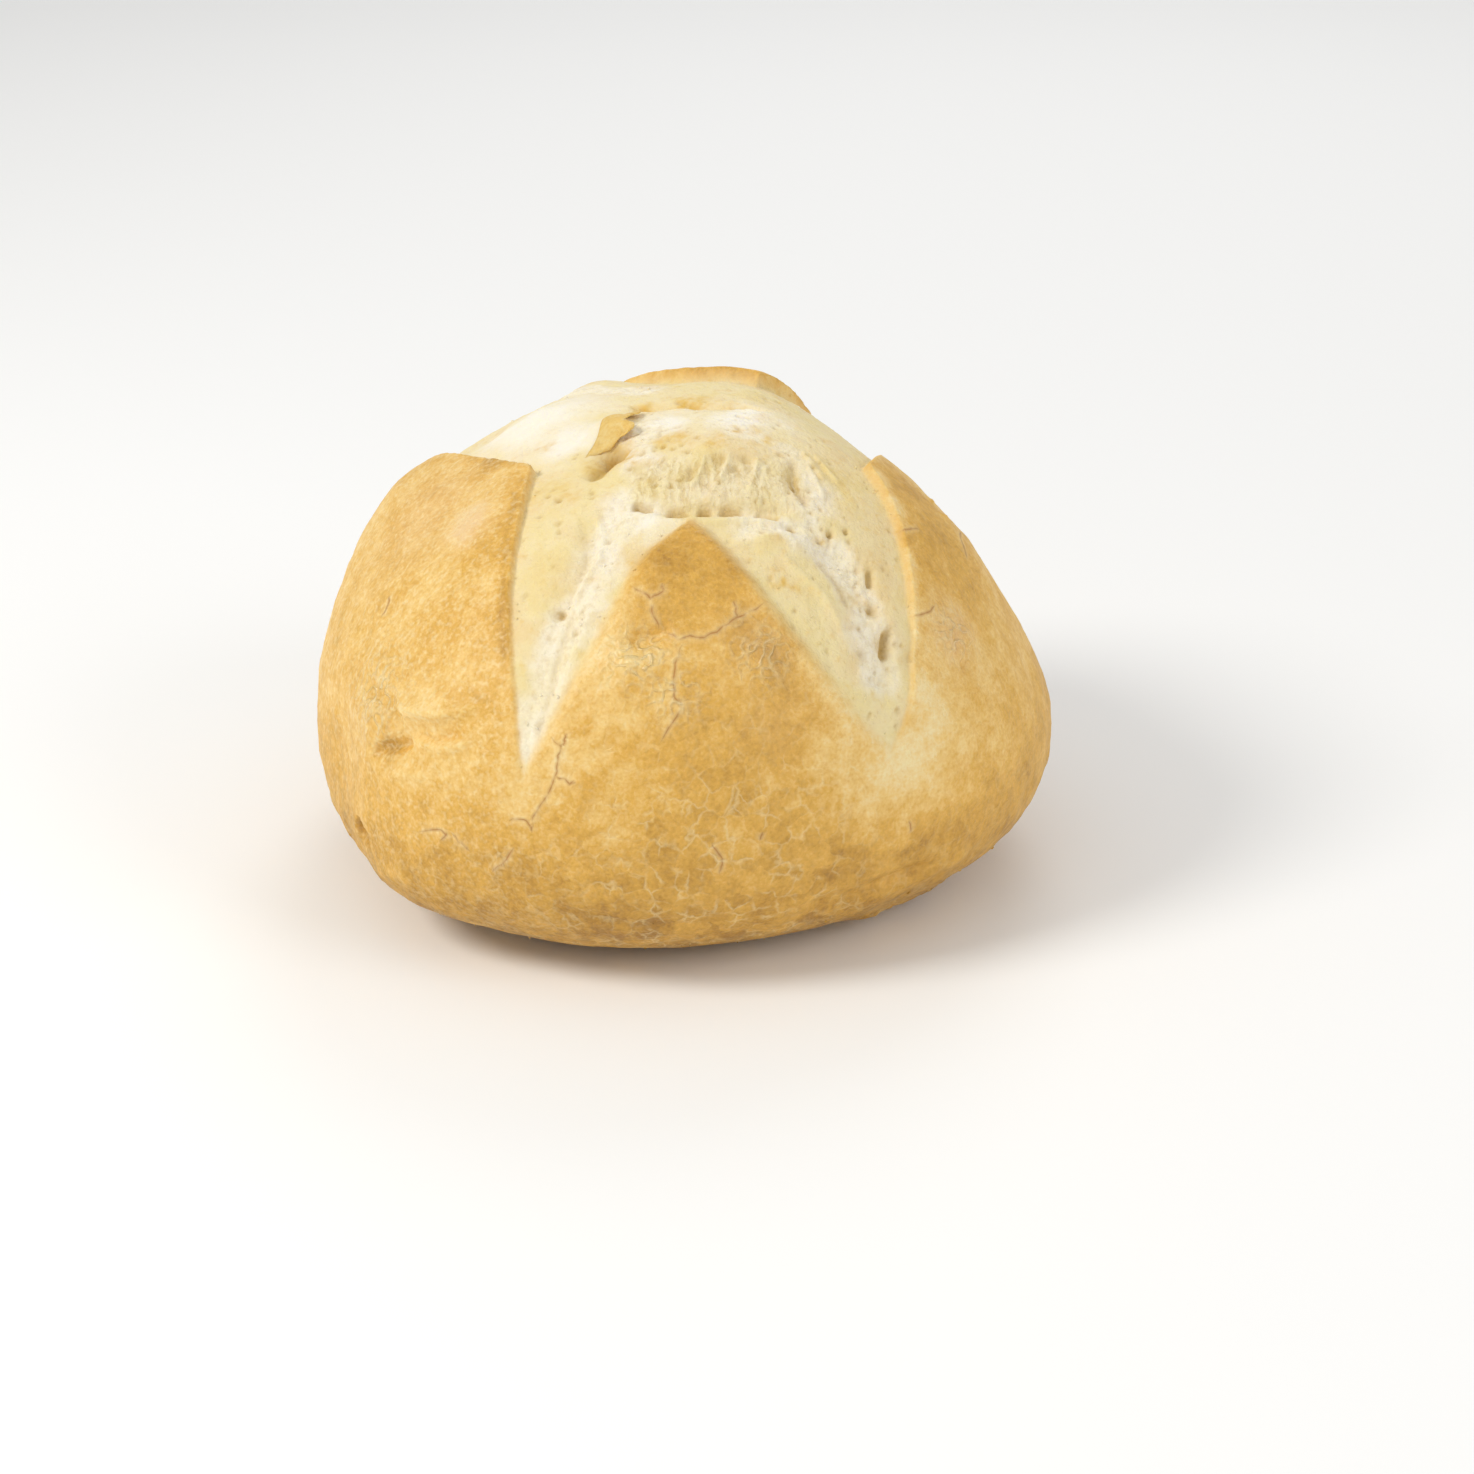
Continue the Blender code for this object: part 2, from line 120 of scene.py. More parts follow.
# Finer long forms, which only the looks have
FINE_FOLDS = (
    # hollows under the mound's fringe, and the white fold in front of them
    (((-16.6, -32.4), (-14.8, -33.4), (-12.8, -34.4)), 0.0015, -0.0026),
    (((-11.2, -34.6), (-8.6, -35.4), (-6.6, -35.6)), 0.0016, -0.0030),
    (((-5.8, -34.9), (-4.4, -35.2), (-3, -35)), 0.0015, -0.0030),
    (((-2, -35), (0.6, -35.3), (3.2, -35.8)), 0.0014, -0.0026),
    (((4.8, -35.6), (7.4, -35.9), (10.0, -36.2)), 0.0013, -0.0022),
    (
        ((-8.6, -38.2), (-6.3, -37.6), (-2.4, -38.6), (2.0, -37.6), (7.2, -37.8), (12.0, -38.4)),
        0.0012,
        0.0013,
    ),
    (((0.5, -41.4), (4, -42), (8, -41), (11.4, -39.8), (14, -38)), 0.0012, 0.0009),
    # pit under the curled flake
    (((-24.4, -24.0), (-23, -20), (-21.6, -16.4), (-20.4, -12.4)), 0.0028, -0.0028),
    # strands and slits in the mound's face
    (((-7.9, -25.6), (-7.6, -27.4), (-8.0, -29.2)), 0.0013, -0.0014),
    (((-5.4, -23.4), (-6, -27), (-7.0, -31.4)), 0.0008, 0.0009),
    (((-1.4, -22.8), (-2.0, -27.4), (-3.6, -32.4)), 0.0008, 0.0008),
    (((3.6, -22.6), (3.4, -27.4), (2.6, -32.4)), 0.0008, 0.0008),
    (((-12, -21), (-14, -25), (-14.6, -30.0)), 0.0009, 0.0007),
    (((-1.4, -8.4), (0.2, -9.2), (1.8, -9.6)), 0.0007, -0.0016),
    # fissure right of the mound, and blades of crumb beside it
    (((9.0, -20.6), (10.6, -24.0), (10.8, -27.4), (13.2, -30.4), (14.0, -33.6)), 0.0017, -0.0014),
    (((11.4, -17.6), (14.4, -21.6), (17.4, -24.8)), 0.0009, 0.0010),
    (((14.2, -17.4), (17.6, -21.4), (21.2, -24.2)), 0.0009, 0.0009),
    (((12.8, -21.4), (15.6, -25.8), (17.8, -30.4)), 0.0009, 0.0009),
    # golden slits behind the mound, and the thin edge between them and it
    (((-19.4, 4.6), (-17.2, 2.8), (-15.2, 1.0)), 0.0009, -0.0014),
    (((-12.2, 4.4), (-9.6, 2.0), (-7.2, -0.2)), 0.0010, -0.0008),
    (((-15.8, 0.0), (-11.6, -1.6), (-8.0, -2.6), (-0.6, -4.9), (5.0, -6.4)), 0.0007, 0.0008),
    # ridge down the left arm, the furrow beside it and the torn line that it leads into
    (((-22.6, -31.1), (-20.9, -36.1), (-19.9, -41.7), (-21.4, -44.9), (-23.3, -51.2)), 0.0011, 0.0013),
    (((-24.6, -32.0), (-23.2, -37.0), (-22.4, -42.0), (-23.6, -46.0)), 0.0014, -0.0006),
    (((-22.1, -49.5), (-23.9, -55.0), (-25.6, -63.3), (-28.6, -70.7)), 0.0013, -0.0007),
    (((-19.4, -50.0), (-21, -57), (-23.8, -64.0)), 0.0014, 0.0010),
    # furrows of torn crumb down the right arm
    (((10, -43), (16, -46), (22, -49), (28, -54)), 0.0015, 0.0009),
    (((17.0, -41.6), (23.0, -44.5), (27.6, -49.0)), 0.0015, -0.0012),
    # bean-shaped pores and the long crescent pore near the right lobe
    (((29.6, -39.4), (30.5, -41.2), (31.3, -43.0)), 0.0011, -0.0022),
    (((36.0, -47.8), (37.4, -51.2), (37.7, -53.6)), 0.0014, -0.0030),
    # creases in the left lobe
    (((-64, -37), (-59.8, -42.7), (-57.5, -46.6), (-55.7, -50.2), (-52.6, -54.0)), 0.0034, -0.0014),
    (((-57, -48), (-51.4, -53.2), (-46.1, -56.9), (-40.6, -59.1), (-36, -60)), 0.0015, 0.0016),
    (((-54.9, -55.4), (-48.2, -60.6), (-44.0, -62.9), (-39.0, -64.3)), 0.0014, 0.0014),
    (((-51.6, -57.0), (-46.6, -60.2), (-41, -62)), 0.0012, -0.0009),
    (((-64.6, -51.0), (-60.4, -53.2), (-56.6, -55.4), (-53.0, -58.2)), 0.0022, -0.0024),
    (((-62, -57), (-56.0, -60.6), (-50.0, -64.6)), 0.0016, 0.0010),
    (((-81.0, -50.8), (-78.4, -56.4), (-76.4, -60.6)), 0.0030, -0.0036),
    (((-79.0, -62.4), (-72, -68), (-64, -73)), 0.0032, 0.0012),
    # the front lobe's hollow under its star of cracks
    (((-13, -58), (-9.0, -57.4), (-5.0, -56.4)), 0.0026, -0.0012),
    (((-14.5, -61.0), (-10.5, -61.4), (-6.5, -60.6)), 0.0030, 0.0010),
    # the foot folds under on the right, below a sharp crease
    (
        ((23.9, -92.4), (34.4, -89.6), (45.2, -85.0), (54.9, -78.4), (64.3, -70.2), (70.6, -62.4)),
        0.0022,
        -0.0007,
    ),
    (
        ((24.9, -96.3), (37.9, -93.9), (49.3, -89.0), (60.5, -81.8), (70.0, -72.5), (79.9, -60.2)),
        0.0030,
        0.0011,
    ),
    (((-30, -94), (-15, -100), (0, -102), (18.0, -99.5)), 0.0020, -0.0008),
)

# Pores, dents and, with a depth below nought, nibs: place, half width and depth
PORES = (
    ((-25.0, -50.1), 0.0015, 0.0022),
    ((-28.5, -26.6), 0.0011, 0.0016),
    ((-30.3, -24.5), 0.0008, 0.0011),
    ((-31.0, -29.4), 0.0007, 0.0010),
    ((-23.1, -28.5), 0.0008, 0.0010),
    ((-27.2, -34.8), 0.0008, 0.0010),
    ((-11.1, -11.5), 0.0013, 0.0009),
    ((-13.0, -18.3), 0.0009, 0.0013),
    ((-0.3, -15.2), 0.0012, 0.0008),
    ((-3.2, -25.0), 0.0022, 0.0011),
    ((1.5, -24.6), 0.0016, 0.0011),
    ((-0.2, -27.0), 0.0012, 0.0010),
    ((12.1, -38.4), 0.0013, 0.0024),
    ((20.1, -36.3), 0.0011, 0.0022),
    ((23.3, -34.6), 0.0009, 0.0020),
    ((18.2, -38.4), 0.0010, 0.0014),
    ((32.5, -46.5), 0.0017, 0.0020),
    ((35.8, -50.8), 0.0025, 0.0011),
    ((32.0, -54.4), 0.0016, 0.0010),
    ((55.9, -42.9), 0.0020, 0.0013),
    ((44, -50), 0.0040, 0.0009),
    ((60, -34), 0.0050, 0.0008),
    ((48.1, -10.2), 0.0018, -0.0010),
    ((45.0, -6.7), 0.0014, -0.0008),
    ((-45.6, 8.9), 0.0016, -0.0012),
    ((-76, -30), 0.0022, -0.0008),
)
PORE_COUNT = 260
PORE_RADII = (0.00036, 0.00100)
PORE_SEED = 11

# Cracks in the crust: the places they run through
CRACKS = (
    # a star of cracks on the front lobe
    ((-13.8, -49.6), (-12.5, -50.2), (-9.7, -52.3), (-9.3, -54.0), (-7.5, -56.7)),
    ((-9.7, -52.3), (-8.1, -51.1), (-8.4, -50.0)),
    ((10.2, -52.2), (7.1, -54.3), (5.3, -55.5), (3.0, -56.9), (0.5, -58.5), (-4.1, -58.3), (-7.5, -56.7)),
    ((5.3, -55.5), (5.0, -54.2), (4.2, -53.0)),
    (
        (-3.1, -58.6), (-3.7, -60.6), (-3.9, -63.9), (-2.9, -66.7), (-1.8, -67.7), (-2.4, -69.9),
        (-5.1, -73.3),
    ),
    # low on the front lobe
    ((6.9, -87.5), (9.4, -89.5), (10.3, -90.4), (9.6, -91.5), (9.7, -93.0)),
    ((18.1, -85.1), (18.3, -86.4)),
    # where the front lobe meets the left one
    (
        (-25.5, -68.1), (-22.9, -70.4), (-23.5, -72.3), (-24.0, -73.9), (-25.3, -75.6), (-29.2, -78.2),
        (-31.2, -81.2),
    ),
    ((-24.4, -74.2), (-21.7, -75.7), (-20.4, -76.3)),
    ((-22.9, -70.4), (-22.1, -70.1), (-22.4, -68.9)),
    ((-35.4, -77.8), (-31.8, -78.8), (-30.8, -80.3), (-31.2, -81.2)),
    ((-43.4, -83.4), (-39.7, -83.3), (-35.6, -81.8)),
    # left lobe
    ((-58.2, -69.3), (-51.7, -72.4), (-50.8, -74.0), (-53.6, -73.8)),
    ((-49.8, -73.8), (-48.3, -75.9), (-46.3, -78.6)),
    ((-55.9, -26.7), (-55.9, -29.1), (-57.6, -30.0)),
    # right lobe
    ((34.9, -28.8), (37.0, -26.9), (39.6, -24.8)),
    ((40.9, -43.9), (44.0, -41.1), (45.9, -38.6)),
    ((53.1, -7.9), (52.1, -14.0), (54.0, -19.7)),
    ((53.5, -72.3), (55.7, -73.9)),
    # sides and back
    ((-62, 12), (-66, 6), (-71, 3)),
    ((64, 30), (70, 26), (75, 28)),
    ((6, 66), (3, 72), (6.5, 79.0)),
)
CRACK_HALF_WIDTH = 0.00034
CRACK_DEPTH = 0.00018
CRACK_RAGGED = 0.55  # degrees that a crack strays from its run of places
HALO_HALF_WIDTH = 0.0009  # the crust is paler this far beside a crack

# Flared rim of the foot at the front right: the places it runs through, half its width and how far it is out
FOOT_RIM = (((57.0, -98.5), (73.5, -88.0), (90.0, -70.5), (103.0, -50.5)), 0.0046, 0.0026)
FOOT_RAGGED = 0.0004  # how far the foot's edge strays in and out

# Curled flake of crust on the crumb: its corners anticlockwise from the front left, and the lift of its
# free edge at the front and at the back
FLAKE_CORNERS = ((-25.8, -14.8), (-18.4, -11.8), (-17.6, -1.8), (-22.0, -0.4))
FLAKE_LIFT = (0.0030, 0.0014)
FLAKE_THICK = 0.00045
FLAKE_CELLS = (12, 18)

# Crumbs that cling to the torn crumb, the rims and the foot: flattened grains, each turned its own way
CRUMBS_PER_SQUARE_METRE = 22000.0
CRUMB_SIZES = (0.00030, 0.00078)  # smallest and largest radius
CRUMB_SEED = 5
CRUMB_SHAPES = ((0.8, 0.6, 0.35), (1.5, 1.0, 0.7))  # least and most of the three axes, in radii
CRUMB_SHAPE_SEED = 3
CRUMB_TURNS = ((0.0, 0.0, 0.0), (6.28, 6.28, 6.28))

# Where the crumb is torn open, white and rough: the places it runs through and half its width
TORN_BANDS = (
    (((-17, -30), (-19, -38), (-21.5, -50.0), (-25.5, -60.0), (-29.5, -70.0)), 0.0070),
    (((5, -38), (18.0, -38.6), (28, -45), (34, -52), (36.5, -56.0)), 0.0068),
    (((-14, -27), (-4, -30), (8, -29), (15, -30)), 0.0090),
    (((-17, -8), (-17, -16), (-16, -24)), 0.0060),
    (((9, -20), (13, -26), (17, -31)), 0.0055),
    (((15, 22), (24, 37), (33, 49), (37, 55)), 0.0052),
    (((-17, 14), (-28, 25), (-38, 36), (-46, 45)), 0.0060),
)
# The mound's torn front face: the places it runs through and half its height
MOUND_FACE = (((-19, -25), (-10.0, -28.4), (-2.0, -29.4), (6.0, -29.4), (15, -28)), 0.0105)
# Where the crumb's skin is smooth and white: place, half width and strength
WHITE_SPOTS = (
    ((-34, 9), 0.022, 1.0),
    ((-29, -6), 0.013, 1.0),
    ((-13, -8), 0.011, 1.0),
    ((0, -10), 0.013, 1.0),
    ((-14, -36), 0.008, 1.0),
)
# Where the crumb has toasted golden: place, half width and strength
TOASTED_SPOTS = (
    ((-8.6, -17.6), 0.0026, 0.55),
    ((-4.0, -19.6), 0.0030, 0.7),
    ((1, -19), 0.0030, 0.6),
    ((5.6, -17.6), 0.0030, 0.75),
    ((7.6, -21.0), 0.0024, 0.6),
    ((3.0, -14.6), 0.0022, 0.5),
    ((-0.3, -15.2), 0.0014, 0.9),
    ((-9.6, 2.0), 0.0050, 1.0),
    ((-17.4, 3.0), 0.0030, 1.0),
    ((-3, -1), 0.0045, 0.5),
    ((6, 3), 0.0060, 0.35),
    ((4.0, -9.5), 0.0030, 0.5),
    ((-33, -5), 0.0026, 0.7),
    ((-46, 2), 0.0050, 0.6),
    ((9.9, -41.5), 0.0018, 1.0),
    ((12.6, -47.8), 0.0022, 1.0),
    ((15.6, -48.6), 0.0020, 0.8),
    ((29, -46), 0.0026, 0.55),
    ((28.2, -49.6), 0.0020, 0.4),
    ((19, -38), 0.0018, 0.6),
    ((-26.6, -26.4), 0.0030, 0.6),
    ((-31.6, -20.0), 0.0030, 0.4),
    ((21, -24), 0.0030, 0.6),
    ((25, -26), 0.0040, 0.4),
    ((-20.4, -46.0), 0.0020, 0.6),
    ((-21.4, -53.0), 0.0018, 0.5),
    # painted shadow of the curled flake over its pit, in the golden colour of toast
    ((-21.4, -16.6), 0.0052, 1.0),
    ((-23.0, -19.6), 0.0034, 1.0),
    ((-11.0, -16.5), 0.0040, 0.8),
    ((-16.4, -22.0), 0.0030, 0.6),
    ((-3.5, -20.4), 0.0046, 0.8),
    ((26, -28), 0.0110, 0.34),
    ((34.5, -42.0), 0.0070, 0.40),
    ((20, -20), 0.0100, 0.36),
    ((-30.5, -24.0), 0.0090, 0.40),
    ((-27, -44), 0.0080, 0.30),
)
TOAST_SPREAD = 1.3  # the browning fades this many times as far as it is wide
# Browner and paler patches of crust: place, half width and how far the bake moves
BAKE_PATCHES = (
    ((-7, -44), 0.018, 0.17),
    ((2, -53), 0.020, 0.16),
    ((0, -71), 0.018, 0.12),
    ((12, -80), 0.012, 0.06),
    ((-14, -66), 0.016, -0.08),
    ((-9, -61), 0.009, -0.12),
    ((30, -70), 0.016, -0.04),
    ((46, -67), 0.015, -0.38),
    ((48, -54), 0.009, -0.22),
    ((-31, -76), 0.009, -0.16),
    ((36, -14), 0.012, 0.16),
    ((42, -26), 0.014, 0.18),
    ((52, -20), 0.018, 0.08),
    ((-38, -8), 0.008, 0.16),
    ((-42, -24), 0.009, -0.16),
    ((-48, -26), 0.016, -0.06),
    ((-40, -30), 0.012, 0.06),
    ((4, 26), 0.014, 0.12),
    ((-60, -20), 0.034, 0.05),
    ((-38, -48), 0.016, 0.06),
    # painted shade in a dent among the left lobe's creases
    ((-59.4, -54.0), 0.0042, 0.26),
    ((-52, -62), 0.014, -0.06),
    ((17, -70), 0.012, 0.14),
    ((13.5, -58.0), 0.010, 0.20),
    ((6, -82), 0.015, 0.10),
    ((60, 20), 0.030, 0.06),
    ((65, -54), 0.014, -0.10),
    ((0, 80), 0.040, 0.08),
    ((-14, 62), 0.014, -0.14),
    ((-26, 84), 0.018, 0.10),
    ((24, 92), 0.016, -0.10),
    ((72, 44), 0.014, -0.12),
    ((86, 0), 0.016, 0.10),
    ((-84, 20), 0.016, 0.08),
)
# The same along the lobes' rims: the places they run through and half their width
BAKE_BANDS = (
    (((27, -13), (31.5, -20.0), (36, -30)), 0.0042, -0.24),
    (((36, -30), (40, -40), (44.5, -54.0)), 0.0016, -0.22),
    (((4.5, -48.5), (15.4, -57.0), (32.0, -65.5)), 0.0034, -0.14),
    (((-12.0, -46.6), (-16.0, -56.4), (-23, -67)), 0.0024, -0.10),
    (((-34.6, -15.4), (-34.8, -26.0), (-34.2, -44.0), (-32.4, -60.0)), 0.0017, 0.20),
    (((-33.6, -15.4), (-39.6, -7.4), (-45.8, 5.6)), 0.0030, 0.10),
    # painted shade along the sharp crease at the foot's front right
    (((31.0, -90.4), (45.2, -85.0), (54.9, -78.4), (64.3, -70.2)), 0.0024, 0.05),
    (((4.0, 20.6), (-4.6, 26.0), (-12.4, 35.0)), 0.0030, 0.12),
)
# Where the crust's skin is drawn into small shiny wrinkles, with painted highlight on their crests: place,
# half width and strength
WRINKLED_SPOTS = (
    ((-10, -61), 0.010, 1.0),
    ((-3, -66), 0.008, 1.0),
    ((11, -60), 0.009, 1.0),
    ((51, -40), 0.008, 1.0),
    ((-60, -44), 0.014, 1.0),
)
# Pinker, duller crust: place, half width and strength
TAN_PATCHES = (
    ((10.0, -58.5), 0.009, 0.35),
    ((17, -70), 0.009, 0.2),
    ((-42, -24), 0.008, 1.6),
    ((52, -40), 0.009, 1.0),
    ((-50, -12), 0.020, 0.6),
    ((-60, 40), 0.014, 1.0),
)
BAKE_LEVEL = 0.47
# Points that the paint doesn't reach, such as the base's, are plain crust in the full painted shade of the
# foot
PLAIN_CRUST = {"crust": 1.0, "bake_and_shade": BAKE_LEVEL + 0.15, "foot": 1.0, "flecks": 0.5}
PATCH_WANDER = 0.0038  # how far a patch's edge strays

# Relief made of noise: the size of its humps, and its height
LUMPS = (0.0060, 0.00062)
GRAINS = (0.0022, 0.00042)
MOUND_LUMPS_HEIGHT = 0.00035
SMOOTH_CRUMB = (0.0045, 0.00022)
FINE_STRANDS = (0.0019, 0.013, 0.020)
COARSE_STRANDS = (0.0042, 0.016, 0.030)
STRAND_HEIGHT = 0.00062
STRAND_LEVEL = 0.95  # noise above this stands out as a strand, and noise below it sinks in
STRAND_BREAKS = 0.0075
CRUST_WAVES = (0.016, 0.00050)
CRUST_BLISTERS = (0.0050, 0.00022)
LOW_CRUST_WAVES = (0.0075, 0.00040)
WRINKLES = (0.0036, 0.00085)
HALO_RISE = 0.00025

# Mesh
GRID = 116  # cells across the whole dome
FINEST = 4  # the smallest cells across one cell of the grid
CROWDING = 1.2
QUARTER_CELL_REACH = 0.0028  # the smallest cells begin this far outside the cut
SMALL_FORM = 0.0031  # forms of less than this half width get the smallest cells
RIM_REACH = 0.010  # the rim is measured closely this far to each side
FAR_STEPS = 50.0  # stands for any distance beyond that
ROW_LEVELS = (2.2, 1.5, 1.1, 0.75, 0.4, 0.1, -0.25, -0.6, -0.95, -1.4)  # rows along the rim, in half steps
ROW_SPACING = 0.0009
CRACK_ROWS = (-0.0008, -0.0003, 0.0, 0.0003, 0.0008)
CRACK_SPACING = 0.0006
CLEARANCE = 0.00042
CURVE_STEPS = 8
BASE_SHRINK = 0.80
BASE_HOLLOW = 0.0006  # the middle of the base is a little hollow, so the loaf stands on its outer ring

# Colours, as sRGB hex
CRUST_PALE = "#F5E2AE"
CRUST_STRAW = "#EDC77A"
CRUST_GOLD = "#DFAE50"
CRUST_BROWN = "#C6963E"
CRUST_DARK = "#A67932"
CRUST_TAN = "#E8C294"
CRUMB_WHITE = "#F8F1DF"
CRUMB_CREAM = "#EDDAA2"
CRUMB_TOASTED = "#DFB248"
# Painted shade in the crumb's hollows, its pores and the gaps between its strands
HOLLOW_SHADE = "#C29F50"
# Painted shade in the narrow gaps of the cracks
CRACK_SHADE_BROWN = "#AC6C14"
FLOOR_WHITE = "#FBFBFA"


def wave(turn, terms):
    """How far the loaf is from round at this turn, as the sum of the given waves."""
    return sum(cosine * np.cos(times * turn) + sine * np.sin(times * turn) for times, cosine, sine in terms)


def foot_lean(turn):
    """The lean, in degrees, at which the dome meets the table."""
    share = (1.0 - (BELLY_HEIGHT / FOOT_DEPTH) ** FOOT_FULLNESS) ** (1.0 / FOOT_FULLNESS)
    foot_radius = share * (BELLY_RADIUS + wave(turn, BELLY_WAVES))
    return 90.0 + np.degrees(np.arctan2(BELLY_HEIGHT, foot_radius))


def skin(places):
    """Points of the smooth dome at the given (east, north) places."""
    east, north = np.asarray(places, float).T
    turn = np.arctan2(north, east)
    lean = np.radians(np.minimum(np.hypot(east, north), foot_lean(turn)))
    across = np.sin(lean)
    up = np.cos(lean)
    above = up > 0.0
    radius = BELLY_RADIUS + wave(turn, BELLY_WAVES)
    fullness = np.where(above, TOP_FULLNESS + wave(turn, FULLNESS_WAVES), FOOT_FULLNESS)
    tall = np.where(above, DOME_RISE, FOOT_DEPTH)
    reach = ((across / radius) ** fullness + (np.abs(up) / tall) ** fullness) ** (-1.0 / fullness)
    slump = np.where(above, reach * up / DOME_RISE, 0.0) ** 2
    return np.column_stack(
        (
            AXIS[0] + reach * across * np.cos(turn) + TOP_SHIFT[0] * slump,
            AXIS[1] + reach * across * np.sin(turn) + TOP_SHIFT[1] * slump,
            BELLY_HEIGHT + reach * up,
        )
    )


def slopes(places):
    """How a point of the dome moves for one degree east and one north, and the direction straight out."""
    nudge = 0.05
    places = np.asarray(places, float)
    east = (skin(places + (nudge, 0.0)) - skin(places - (nudge, 0.0))) / (2 * nudge)
    north = (skin(places + (0.0, nudge)) - skin(places - (0.0, nudge))) / (2 * nudge)
    normal = np.cross(east, north)
    return east, north, normal / np.maximum(np.linalg.norm(normal, axis=1, keepdims=True), 1e-12)


def curve(points, steps=CURVE_STEPS):
    """A smooth curve through the given places, as short straight runs."""
    points = np.asarray(points, float)
    padded = np.vstack((2 * points[0] - points[1], points, 2 * points[-1] - points[-2]))
    share = np.linspace(0.0, 1.0, steps, endpoint=False)[:, None]
    runs = []
    for before, start, end, after in zip(padded, padded[1:], padded[2:], padded[3:]):
        pull_out = 0.5 * (end - before)
        pull_in = 0.5 * (after - start)
        runs.append(
            (2 * share**3 - 3 * share**2 + 1) * start
            + (share**3 - 2 * share**2 + share) * pull_out
            + (3 * share**2 - 2 * share**3) * end
            + (share**3 - share**2) * pull_in
        )
    return np.vstack(runs + [points[-1:]])


def nearest(points, path):
    """For each point, its distance from the path, how far along the path the nearest spot is, from 0 to 1,
    and the path's heading there."""
    steps = np.diff(path, axis=0)
    runs = np.linalg.norm(steps, axis=1)
    starts = np.concatenate(([0.0], np.cumsum(runs)))
    best = np.full(len(points), np.inf)
    along = np.zeros(len(points))
    index_of = np.zeros(len(points), int)
    for index, (start, step) in enumerate(zip(path, steps)):
        offset = points - start
        share = np.clip(offset @ step / (step @ step), 0.0, 1.0)
        gap = ((offset - share[:, None] * step) ** 2).sum(axis=1)
        closer = gap < best
        best[closer] = gap[closer]
        along[closer] = (starts[index] + share[closer] * runs[index]) / starts[-1]
        index_of[closer] = index
    return np.sqrt(best), along, (steps / runs[:, None])[index_of]


def star():
    """The outline of the cut as a closed run of places, anticlockwise from the front left arm."""
    outline = []
    for number in (2, 3, 4, 5, 6, 7, 0, 1):
        tip, between, end = CUT_EDGES[number][:3]
        edge = curve((tip, *between, end))
        outwards = number in (3, 5, 7, 1)
        outline.extend(edge[:-1] if outwards else edge[:0:-1])
    return np.array(outline)


def inside(places, outline):
    """Whether each place lies inside the closed outline."""
    east, north = places.T
    found = np.zeros(len(places), bool)
    for (east_1, north_1), (east_2, north_2) in zip(outline, np.roll(outline, -1, axis=0)):
        if north_1 == north_2:
            continue
        spans = (north_1 > north) != (north_2 > north)
        crossing = east_1 + (north - north_1) * (east_2 - east_1) / (north_2 - north_1)
        found ^= spans & (east < crossing)
    return found


def smooth_step(value):
    value = np.clip(value, 0.0, 1.0)
    return value * value * (3.0 - 2.0 * value)


HASH_PRIMES = np.array((73856093, 19349663, 83492791))


def hashed(cells, seed):
    """A repeatable number from -1 to 1 for each whole-numbered cell."""
    mixed = np.bitwise_xor.reduce(cells * HASH_PRIMES, axis=-1) ^ (seed * 40503 + 977)
    for _ in range(2):
        mixed = ((mixed ^ (mixed >> 15)) & 0xFFFFFFFF) * 73244475
    return ((mixed ^ (mixed >> 16)) & 0xFFFFFF) / 8388607.5 - 1.0


def ripple(points, cell, seed):
    """Smooth noise, about -1 to 1, whose humps are one cell across. cell is one size or three."""
    scaled = points / cell
    corner = np.floor(scaled).astype(np.int64)
    part = scaled - corner
    ease = part**3 * (part * (part * 6.0 - 15.0) + 10.0)
    total = np.zeros(len(points))
    for step in np.ndindex(2, 2, 2):
        cells = corner + step
        away = part - step
        lean = np.stack([hashed(cells, seed + 31 * axis) for axis in range(3)], axis=-1)
        weight = np.prod(np.where(step, ease, 1.0 - ease), axis=1)
        total += weight * (lean * away).sum(axis=1)
    return 1.4 * total


def rough(points, cell, seed, octaves=3):
    """Noise with finer and finer ripples on top."""
    total = np.zeros(len(points))
    for octave in range(octaves):
        total += ripple(points, np.asarray(cell) / 2.0**octave, seed + 7 * octave) / 1.8**octave
    return total


def ridged(points, cell, seed, octaves=2):
    """Noise with sharp ridges, from 0 in the flats to 1 on a ridge."""
    total = np.zeros(len(points))
    for octave in range(octaves):
        humps = ripple(points, np.asarray(cell) / 2.0**octave, seed + 7 * octave)
        total += (1.0 - np.abs(humps)) ** 2 / 2.0**octave
    return total / sum(2.0**-octave for octave in range(octaves))


def rim_facts(places, points, normal):
    """Distance from the rim, positive on the crust, with its sizes and the direction over the crumb,
    blended from the nearest edges."""
    gap = np.full(len(points), np.inf)
    sizes = np.zeros((len(points), 4))
    total = np.zeros((len(points), 1))
    over = np.zeros((len(points), 3))
    for number, (tip, between, end, proud, drop, half_step, hang) in enumerate(CUT_EDGES):
        away, along, heading = nearest(points, skin(curve((tip, *between, end))))
        gap = np.minimum(gap, away)
        weight = ((away + 0.001) ** -3.0)[:, None]
        fading = 1.0 - (1.0 - END_SHARE) * smooth_step(along)
        values = (proud * fading, drop * fading, np.full(len(points), half_step), hang * fading)
        sizes += weight * np.column_stack(values)
        total += weight
        side = np.cross(normal, heading) * (1.0 if number in (3, 5, 7, 1) else -1.0)
        over += weight * side
    over /= np.maximum(np.linalg.norm(over, axis=1, keepdims=True), 1e-12)
    gap = np.where(inside(places, star()), -gap, gap)
    ragged = rough(points, 0.0055, 3) + 0.5 * ripple(points, 0.0016, 5)
    gap = gap + RIM_RAGGED * ragged * smooth_step(2.0 - np.abs(gap) / 0.004)
    return gap, (sizes / total).T, over


def close_to(points, path, reach):
    """Numbers of the points in the path's box, grown by the reach."""
    low = path.min(axis=0) - reach
    high = path.max(axis=0) + reach
    return np.flatnonzero(((points > low) & (points < high)).all(axis=1))


